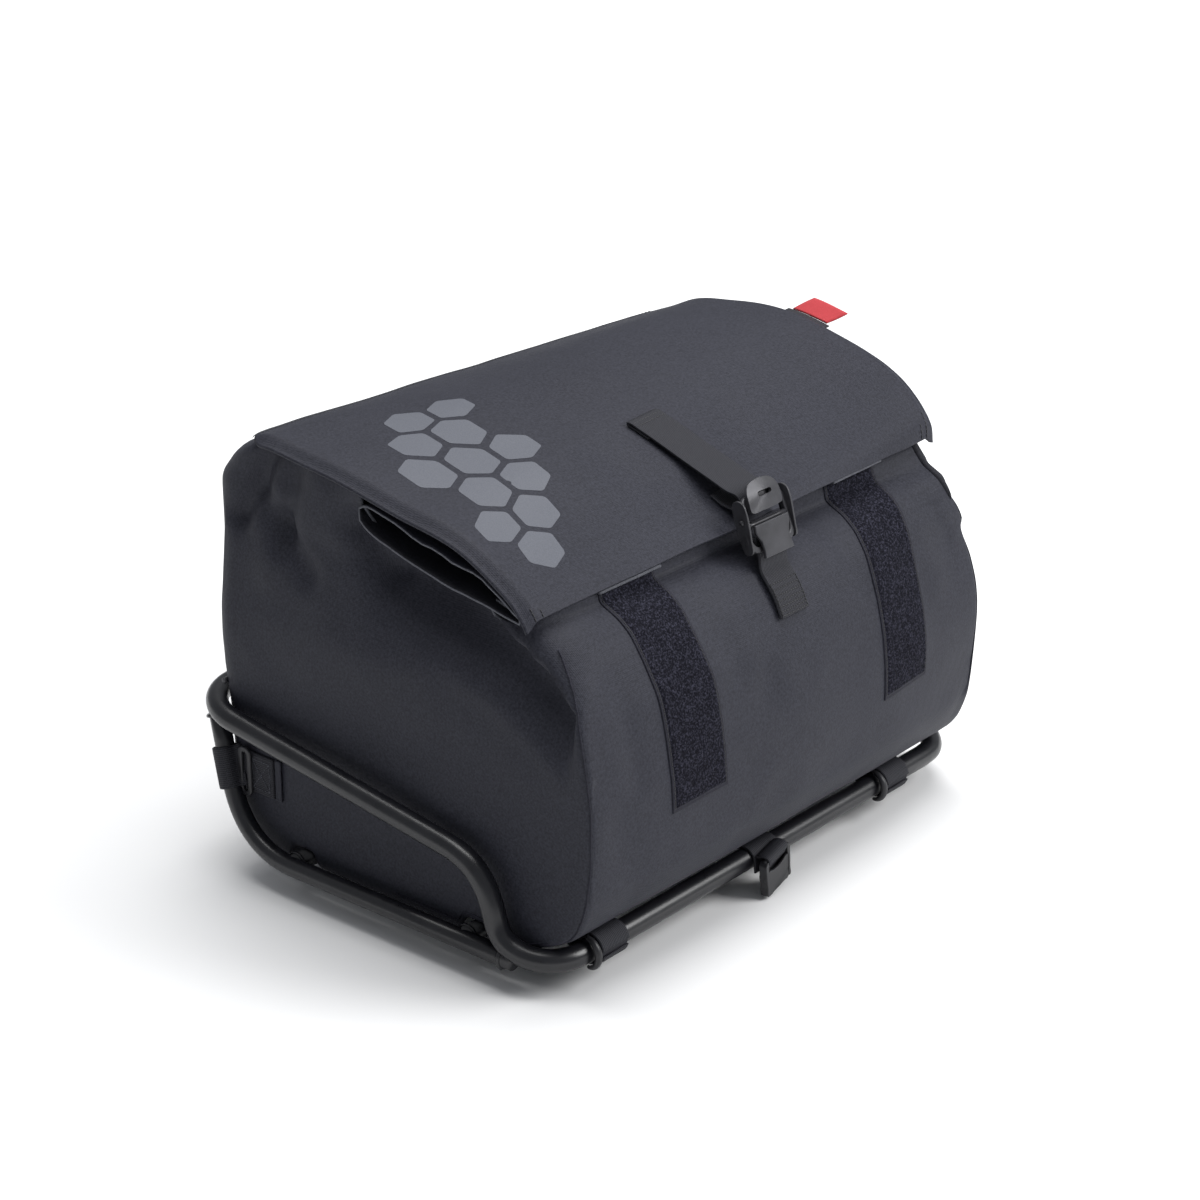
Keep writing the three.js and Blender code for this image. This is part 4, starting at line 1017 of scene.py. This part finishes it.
def addRoll():
    acrosses = np.concatenate([np.linspace(-1, -0.7, 26)[:-1], np.linspace(-0.7, 0.7, 30)[:-1],
                               np.linspace(0.7, 1, 26)])
    rings = [rollRing(a) for a in acrosses]
    count = len(rings[0])
    outer = addMesh("roll_cloth", np.concatenate(rings), gridFaces(len(rings), count, around=True), "fabric", "fabric",
                    others=("inside", "edge"))
    apply(outer, "SOLIDIFY", thickness=roll["wall"] / 1000, offset=-1, use_rim=True, material_offset=1,
          material_offset_rim=2)
    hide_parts("roll_closure")
    # Inner turn of the roll, seen in its open ends: only round the front, a little inside the outer turn
    inner = [rollRing(across * 0.992, 3.4)[15:33] for across in acrosses]
    layer = addMesh("roll_inner_turn", np.concatenate(inner), gridFaces(len(inner), len(inner[0])), "inside", "fabric",
                    others=("edge",))
    apply(layer, "SOLIDIFY", thickness=roll["wall"] / 1000, offset=0, use_rim=True, material_offset=0,
          material_offset_rim=1)
    print("roll made")


addRoll()


# Hook buckle that holds the flap down

buckle = {"width": 44, "length": 34, "plate": 3, "gap": 0.4, "web": 1.5, "tilt": 68, "front": 0.803, "height": 0.735,
          "slotHeight": 1.2, "slotPlace": 0.94}
buckleMatrix = (Matrix.Translation((0, -buckle["front"] * bag["front"], bagZ(buckle["height"])))
                @ Matrix.Rotation(math.radians(buckle["tilt"]), 4, "X"))
cheekOutline = [(-16, -3.4), (-14, -4.4), (12, -4.4), (16, -2.5), (16.5, 1.5), (14, 4.6), (9, 5.4), (-9, 3.2),
                (-15, 2.2), (-16.5, 0)]
capOutline = [(14.6, -8), (15.2, -2), (14.2, 4), (10.5, 8.2), (4, 9.9), (-4, 9.9), (-10.5, 8.2), (-14.2, 4),
              (-15.2, -2), (-14.6, -8), (-6, -8.6), (6, -8.6)]
hookOutline = [(16, 0.5), (16, -4), (14.6, -7), (13.2, -10), (13, -16), (13.8, -20), (-13.8, -20), (-13, -16),
               (-13.2, -10), (-14.6, -7), (-16, -4), (-16, 0.5)]
standing = Matrix(((0, 0, 1, 0), (1, 0, 0, 0), (0, 1, 0, 0), (0, 0, 0, 1)))


def onBuckle(x, y, z):
    return buckleMatrix @ Vector((x, y, z))


def byBuckle(up, out):
    return tuple(onBuckle(0, up, out))[1:]


# Loop that narrows towards its top
def buckleLoop(width, length, radius):
    return [(x * (1 - 0.10 * float(smoothStep(y, 4, 17))), y) for x, y in roundedLoop(width, length, radius, 10)]


# Points of a loop that lie nearest to even directions round its middle
def castLoop(loop, middleY, count=96):
    loop = np.array(loop)
    angles = np.arctan2(loop[:, 1] - middleY, loop[:, 0])
    return [tuple(loop[int(np.argmin(np.abs(np.angle(np.exp(1j * (angles - a))))))])
            for a in np.linspace(0, 2 * math.pi, count, endpoint=False)]


def capBend(p):
    return Vector((p[0], p[1], p[2] - 0.018 * max(0, p[1] + 2) ** 2 - 0.006 * p[0] ** 2))


def hookBend(p):
    return Vector((p[0], p[1], p[2] + 0.9 * float(smoothStep(p[1], -5, 0.5)) - 0.004 * p[0] ** 2 + 0.7))


def addBuckle():
    width, length = buckle["width"], buckle["length"]
    face = buckle["plate"] / 2 + buckle["gap"]
    ring = addPlate("buckle_ring", buckleLoop(width, length, 8.5), buckleLoop(width - 7.5, length - 7, 6),
                    buckle["plate"], buckleMatrix, "metal", "metal", 0.9, -buckle["plate"] / 2)
    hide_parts("buckle_frame")
    # Cheek plates stand up at both sides of the ring, each with a rivet
    for side, sign in (("left", -1), ("right", 1)):
        put = buckleMatrix @ Matrix.Translation((sign * (width / 2 - 0.9) - 0.7, 0, 0)) @ standing
        addPlate("buckle_cheek_" + side, closedCurve(cheekOutline, 1.6), None, 1.5, put, "metal", "metal", 0.4)
    # Cap: a plate that curves back at its top, with a long slot
    hole = [(x, y + buckle["slotHeight"]) for x, y in roundedLoop(13, 3.0, 1.45, 11)]
    outline = castLoop(evenCurve(capOutline + capOutline[:1], 1.0), 0)
    slot = castLoop(evenCurve([*hole, hole[0]], 0.25), buckle["slotHeight"])
    put = buckleMatrix @ Matrix.Translation((0, buckle["slotPlace"] * length / 2 - 1, face + 1.3))
    made = addPlate("buckle_lever", outline, slot, 2.4, put, "metal", "plastic", 0.5, 0, capBend)
    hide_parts("buckle_cap")
    # Hook: a plate with a turned top edge, narrower below its shoulders
    put = buckleMatrix @ Matrix.Translation((0, -1, face))
    made = addPlate("hook", hookOutline, None, 2.2, put, "metal", "metal", 0.6, 0, hookBend)
    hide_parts("hook_plate")
    shapes = [tubeShape([onBuckle(x, 0, 0) for x in (-19.5, -12, 0, 12, 19.5)], 1.5, 20)]
    shapes += [tubeShape([onBuckle(sign * x, 3.5, 0.4) for x in (21.2, 22.4, 22.9)], 1.6, 18) for sign in (-1, 1)]
    made = addJoined("buckle_pin_and_rivets", shapes, "metal", "metal")
    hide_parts("buckle_pin")


addBuckle()
print("buckle made")


# Webbing of the flap

strapSlope = 0.065      # the top strap follows the flap's rise to the right


def flapRoute(along, lift):
    return tuple(onFlap(along, 0, lift)[1:])


# Point over the middle of the front panel, as y and z
def onPanel(level, lift):
    share = frontShare(level, 0)
    return tuple(frontPoint(share, 0) + frontNormal(share, 0) * lift)[1:]


# Row of stitches that follows a list of points and the directions out of the cloth there
def sewRow(spots, pitch, thread):
    points, outs = zip(*spots)
    return stitchShapes(list(points), list(outs), pitch, thread)


def flapSpot(along, across):
    return onFlap(along, across, 0.05), flapNormal(along, across)


def foldSpot(along, x):
    point = onFlap(along, 0, 3.45)
    return np.array((x, point[1], point[2] + strapSlope * x)), flapNormal(along, 0)


def panelSpot(level, x):
    return np.array((x, *onPanel(level, 2.85))), frontNormal(frontShare(level, x), x)


def addFlapStraps():
    back = buckle["plate"] / 2 + buckle["gap"] + buckle["web"] / 2
    barUp = buckle["length"] / 2
    # The far end is folded under itself and sewn, then the strap runs straight to the buckle
    folded = ((0.600, 0.9), (0.575, 0.9), (0.556, 0.95), (0.5485, 1.9), (0.556, 2.9), (0.575, 2.75), (0.605, 2.8))
    route = [*(flapRoute(*place) for place in folded), (-66.6, 265.0), (-86, 258.2), (-99, 253.6),
             byBuckle(barUp + 2.4, -back - 2.2), byBuckle(barUp - 1.5, -back - 0.9), byBuckle(barUp - 5, -back - 0.7)]
    strap = routeBand("flap_strap", route, 0, 28, 1.5, strapSlope, columns=24)
    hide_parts("top_strap")
    route = [flapRoute(0.785, 0.9), flapRoute(0.80, 1.5), flapRoute(0.83, 1.9), byBuckle(barUp - 7, -back - 5)]
    tail = routeBand("flap_strap_tail", route, 0, 27, 1.5, strapSlope, columns=20)
    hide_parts("strap_tail")
    low = [byBuckle(-8, -back), byBuckle(-15, -back), byBuckle(-19, -back + 0.3), onPanel(0.632, 2.4),
           onPanel(0.61, 1.7), *(onPanel(level, 1.6) for level in (0.585, 0.56, 0.544))]
    lower = routeBand("lower_strap", low, 0, 26.5, 2.4, 0, "sewnWebbing", columns=24)
    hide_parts("lower_strap")
    # Rows of stitches: the folded far end, the box sewn on the panel, the flap's front corners and its back edge
    shapes = []
    for along in (0.562, 0.572):
        shapes += sewRow([foldSpot(along, x) for x in np.linspace(-12.5, 12.5, 9)], 2.4, 0.26)
    for level in (0.548, 0.556, 0.566, 0.576, 0.586, 0.596, 0.606):
        shapes += sewRow([panelSpot(level, x) for x in np.linspace(-12, 12, 9)], 2.2, 0.24)
    for x in (-12.2, 12.2):
        shapes += sewRow([panelSpot(level, x) for level in np.linspace(0.547, 0.608, 12)], 2.4, 0.26)
    for sign in (-1, 1):
        for across, start in ((0.965, 0.86), (0.935, 0.9)):
            shapes += sewRow([flapSpot(along, sign * across) for along in np.linspace(start, 0.995, 12)], 3.2, 0.3)
    shapes += sewRow([flapSpot(0.030, across) for across in np.linspace(-0.97, 0.97, 120)], 3.4, 0.26)
    addJoined("flap_stitches", shapes, "thread", "webbing")


addFlapStraps()
print("flap straps made")


# The span is a share of the flap's edge curve, which runs over its table's rows and not over even lengths
tab = {"place": 0.45, "width": 26, "span": 26 / 425, "length": 14, "out": 13.6, "thick": 1.35}


def addTab():
    outs, shares = np.linspace(0, 1, 16), np.linspace(0, 1, 26)
    rows = []
    for out in outs:
        for share in shares:
            edge = flapPoint(tab["place"] + share * tab["span"], 1)
            edge += (0.4 + out * tab["out"], -out * 7, 0.3 + out * 5 + 0.5 * math.sin(out * 2.4) * math.cos(share * 3))
            rows.append(edge)
    rows = np.reshape(rows, (len(outs), len(shares), 3))
    normals = unit(np.cross(np.gradient(rows, axis=1), np.gradient(rows, axis=0)))
    normals *= np.sign(normals[..., 2:3])
    sewn = [(share * tab["width"], out * tab["length"]) for out in outs for share in shares]
    # Thinner towards its free edges
    border = np.minimum.outer(outs * tab["length"] + 9, np.minimum(shares, 1 - shares) * tab["width"])
    border = np.minimum(border, (1 - outs)[:, None] * tab["length"])
    shape, faces = skinShape(rows, normals, 0.0, tab["thick"] - 0.35 * smoothStep(-border, -1.3, -0.2))
    made = addMesh("side_tab_red", shape, faces, "tab", "tab", sewn * 2)
    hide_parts("side_tab")
    # Dark binding that holds the tab on the flap's edge
    line = [onFlap(a, 0.972, 0.25) for a in np.linspace(0.445, 0.52, 16)]
    addBand("tab_binding", evenCurve(line, 1.5), (1, 0, 0.05), 7.5, 1.0, 8)


addTab()


# Webbing round the front tube

def frontWrap(radius, start, end, steps=16):
    return [(tray["frontY"] + radius * math.cos(math.radians(a)), tray["loopZ"] + radius * math.sin(math.radians(a)))
            for a in np.linspace(start, end, steps)]


front = {"places": (("left", -156), ("right", 128)), "middle": -9, "width": 26, "thick": 1.5,
         "radius": tray["loop"] / 2 + 1.05}


# Bowed side bar of a slider round the front tube, thickest at its middle
def crescentShape(place):
    points, angles = [], np.linspace(88, 262, 30)
    for n, angle in enumerate(np.radians(angles)):
        swell = math.sin(math.pi * n / (len(angles) - 1)) ** 0.7
        out, wide = 1.0 + 1.7 * swell, 1.6 + 2.4 * swell
        for turn in np.linspace(0, 2 * math.pi, 16, endpoint=False):
            far = front["radius"] + 0.9 + out * 0.5 + out * math.sin(turn) * 0.8
            points.append((place - 13.4 - wide / 2 + wide * math.cos(turn) * 0.62,
                           tray["frontY"] + far * math.cos(angle), tray["loopZ"] + far * math.sin(angle)))
    return points, gridFaces(len(angles), 16, around=True) + endCaps(len(angles), 16)


def addBaseStraps():
    radius, y = front["radius"], tray["frontY"]
    under = bag["bottom"] - 0.4 - front["thick"] / 2
    start = [(y + 34, under), (y + 26, under), (y + 18, under), (y + 11, under - 0.3)]
    for side, place in front["places"]:
        route = [*start, *frontWrap(radius, 50, 270), (y + 9, tray["loopZ"] - radius + 0.8), (y + 15, under - 4.6),
                 (y + 22, under - 2.1), (y + 32, under - 2.1)]
        strap = routeBand("base_webbing_" + side, route, place, front["width"], front["thick"], step=1.6, columns=16)
        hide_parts("base_strap_" + side)
        routeBand("base_fold_" + side, frontWrap(radius + 1.6, 62, 172), place + 1.0, 24, 1.4, finish="sewnWebbing",
                  step=1.4)
        routeBand("base_tail_" + side, frontWrap(radius + 1.5, 196, 262), place + 1.5, 22, 1.2, step=1.4, columns=12)
        bar = addMesh("base_crescent_" + side, *crescentShape(place), "plastic", "plastic")
        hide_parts("base_slider_" + side)
    route = [*start, *frontWrap(radius, 50, 180), (y - radius - 0.2, tray["loopZ"] - 3),
             (y - radius - 0.5, tray["loopZ"] - 6.5)]
    strap = routeBand("front_webbing", route, front["middle"], front["width"], front["thick"], columns=20)
    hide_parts("center_webbing")


addBaseStraps()


releaseOutline = [(14.6, 3), (14.9, -2), (14.2, -6), (14.6, -10.4), (10, -12.8), (6.5, -12), (-6.5, -12), (-10, -12.8),
                  (-13.6, -12.2), (-14.4, -8), (-14.0, -4), (-14.8, -1), (-14.6, 3), (-10.5, 4.4), (-5, 3.4), (5, 3.4),
                  (10.5, 4.4)]
releaseArm = [(11.5, 11.8), (14.4, 10.5), (14.8, 4), (14.6, -2), (14.2, -6), (14.4, -11.8), (12.4, -12.4), (12.0, -6),
              (12.2, 2), (11.5, 6)]
upright = Matrix(((1, 0, 0, 0), (0, 0, -1, 0), (0, 1, 0, 0), (0, 0, 0, 1)))     # a plate's own y is up, its z forward


def releaseBow(p):
    return Vector((p[0], p[1], p[2] - 0.005 * p[0] ** 2))


def addReleaseHalf():
    place = Matrix.Translation((front["middle"], tray["frontY"] - front["radius"] - 6.6, tray["loopZ"] - 6))
    place = place @ Matrix.Rotation(math.radians(8), 4, "Z") @ Matrix.Rotation(math.radians(-8), 4, "Y")

    def plate(name, outline, thickness, y, edge, bend=None):
        return addPlate(name, outline, None, thickness, place @ Matrix.Translation((0, y, 0)) @ upright,
                        "plastic", "plastic", edge, 0, bend)
    outline = closedCurve(releaseOutline, 1.3)
    made = plate("release_front", outline, 1.6, -1.4, 0.45, releaseBow)
    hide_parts("release_buckle")
    plate("release_back", outline, 1.3, 3.0, 0.4)
    for side, sign in (("left", -1), ("right", 1)):
        arm = closedCurve([(sign * x, z) for x, z in releaseArm], 1.2)
        plate("release_arm_" + side, arm[::sign], 5.4, 2.8, 0.6)
    shapes = [tubeShape([place @ Vector((x, y, z)) for x in np.linspace(-12.6, 12.6, 7)], size, 16)
              for z, y, size in ((11.2, 0.2, 1.5), (5.4, 1.4, 1.3))]
    addJoined("release_bars", shapes, "plastic", "plastic")
    # The webbing's end: round the upper bar and sewn back on itself
    route = [(6.4, 12.6), (2.6, 14.0), (-1.6, 13.2), (-2.3, 10.6), (-1.0, 8.0), (0.2, 5.0)]
    centers = [place @ Vector((0, y, z)) for y, z in evenCurve(route, 1.2)]
    addBand("release_webbing", centers, place.to_3x3() @ Vector((1, 0, 0)), 23, 1.4, 18)


addReleaseHalf()
print("front webbing made")


# Webbing from each end panel round the rear post, with its slider and sewn patch

side = {"height": 69.1, "width": 26, "patchFront": 131, "patchBack": 104, "box": 9.5, "thick": 1.4}


def addSideStrap(name, sign):
    panelX = bag["width"] / 2 * float(sectionAt((side["height"] - bag["bottom"]) / bag["height"], 4))
    patchX = panelX + 1.25
    top, foot = postTop(sign), postFoot(sign)
    lean = unit(top - foot)
    center = foot + (top - foot) * (side["height"] - foot[2]) / (top[2] - foot[2])
    toBack = unit(np.array((0, 1, 0)) - lean * lean[1])
    outward = unit(np.cross(lean, toBack))
    if outward[0] * sign < 0:
        outward = -outward
    reach, rise = side["patchFront"] - center[1], sign * (patchX * sign - center[0])
    radius = tray["base"] / 2 + 1.5
    path = [(reach - 2, rise + 1.1), (reach + 2, rise + 2.6), (-5.4, 4.6)]
    path += [(radius * math.sin(a), radius * math.cos(a)) for a in np.radians(np.linspace(-14, 172, 14))]
    path += [(-5.0, -radius + 1.2), (reach + 2, rise - 0.2), (reach - 2, rise - 0.2)]
    centers = [center + toBack * a + outward * b for a, b in evenCurve(path, 1.4)]
    strap = addBand("side_webbing_" + name, centers, lean, side["width"], side["thick"], 16)
    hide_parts("side_strap_" + name)
    # Patch, two layers thick and sewn down in a box with a cross
    along = np.linspace(side["patchFront"], side["patchBack"], 18)
    centers = [(sign * (patchX - 0.2), y, side["height"]) for y in along]
    patch = addBand("side_patch_sewn_" + name, centers, (0, 0, 1), side["width"], 2.4, 16, "sewnWebbing")
    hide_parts("side_patch_" + name)
    low, high = side["height"] - side["box"], side["height"] + side["box"]
    near, far = side["patchFront"] - side["box"], side["patchBack"] + 3
    box = [((near, low), (near, high)), ((far, low), (far, high)), ((near, low), (far, low)),
           ((near, high), (far, high)), ((near, low), (far, high)), ((near, high), (far, low))]
    shapes = []
    for (y0, z0), (y1, z1) in box:
        line = np.linspace((sign * (patchX + 1.05), y0, z0), (sign * (patchX + 1.05), y1, z1), 6)
        shapes += stitchShapes(line, [(sign, 0, 0)] * 6, 2.3, 0.26)
    addJoined("side_patch_stitches_" + name, shapes, "edge", "webbing")
    # Folded strip at the patch's front edge
    centers = [(sign * (panelX + 0.9), side["patchBack"] - y, side["height"]) for y in np.linspace(1, 6, 7)]
    addBand("side_strip_" + name, centers, (0, 0, 1), side["width"] + 1, 1.2, 16, "fabric", "fabric")
    put = Matrix(((0, 0, sign, sign * (patchX + 1.15)), (sign, 0, 0, side["patchFront"] - 4.5),
                  (0, 1, 0, side["height"]), (0, 0, 0, 1)))
    slider = addPlate("side_ring_" + name, roundedLoop(11, side["width"] + 7, 4.6, 9),
                      roundedLoop(4.2, side["width"], 1.9, 9), 2.5, put, "plastic", "plastic", 0.9)
    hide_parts("side_slider_" + name)


addSideStrap("left", -1)
addSideStrap("right", 1)
print("side webbing made")


# Floor and light

studio = {"floor": (0.86, 0.86, 0.86), "sky": 0.34, "key": 78, "top": 78, "glow": 0.55, "clear": 0.75, "fade": 2.2}


def addStudio():
    made = Finish("pale_floor", studio["floor"], 0.9, specular=0.1)
    grain = made.noise(made.spot(), 3, 2)
    made.feed("Base Color", made.blendColor(spread(grain, 0.3, 0.7), (0.85, 0.85, 0.85), (0.88, 0.88, 0.88)))
    # Away from the object the floor glows a little, so that it stays as white as it is near the lights
    x, y, _ = made.axes(made.spot())
    far = made.node("Math", {"operation": "SQRT"}, {0: x * x + y * y})
    glow = spread(far, studio["clear"], studio["clear"] + studio["fade"])
    made.feed("Emission Color", made.blendColor(glow, (0, 0, 0), (1, 1, 1)))
    made.shader.inputs["Emission Strength"].default_value = studio["glow"]
    mesh = bpy.data.meshes.new("floor")
    mesh.from_pydata([(-14, -14, 0), (14, -14, 0), (14, 14, 0), (-14, 14, 0)], [], [(0, 1, 2, 3)])
    mesh.materials.append(made.material)
    floor = bpy.data.objects.new("floor", mesh)
    bpy.context.scene.collection.objects.link(floor)
    world = bpy.data.worlds.new("studio")
    bpy.context.scene.world = world
    world.use_nodes = True
    sky = world.node_tree.nodes["Background"]
    sky.inputs["Color"].default_value = (0.92, 0.95, 1.0, 1)
    sky.inputs["Strength"].default_value = studio["sky"]
    lamps = (("key", (1.5, -2.2, 1.9), 1.8, studio["key"]), ("top", (0.3, 0.2, 2.6), 2.4, studio["top"]))
    for name, at, size, power in lamps:
        data = bpy.data.lights.new(name, "AREA")
        data.shape = "DISK"
        data.size = size
        data.energy = power
        lamp = bpy.data.objects.new(name, data)
        lamp.location = at
        lamp.rotation_euler = (Vector((0, 0, 0.12)) - Vector(at)).to_track_quat("-Z", "Y").to_euler()
        bpy.context.scene.collection.objects.link(lamp)
    bpy.context.scene.view_settings.view_transform = "Standard"


addStudio()
print("studio made")
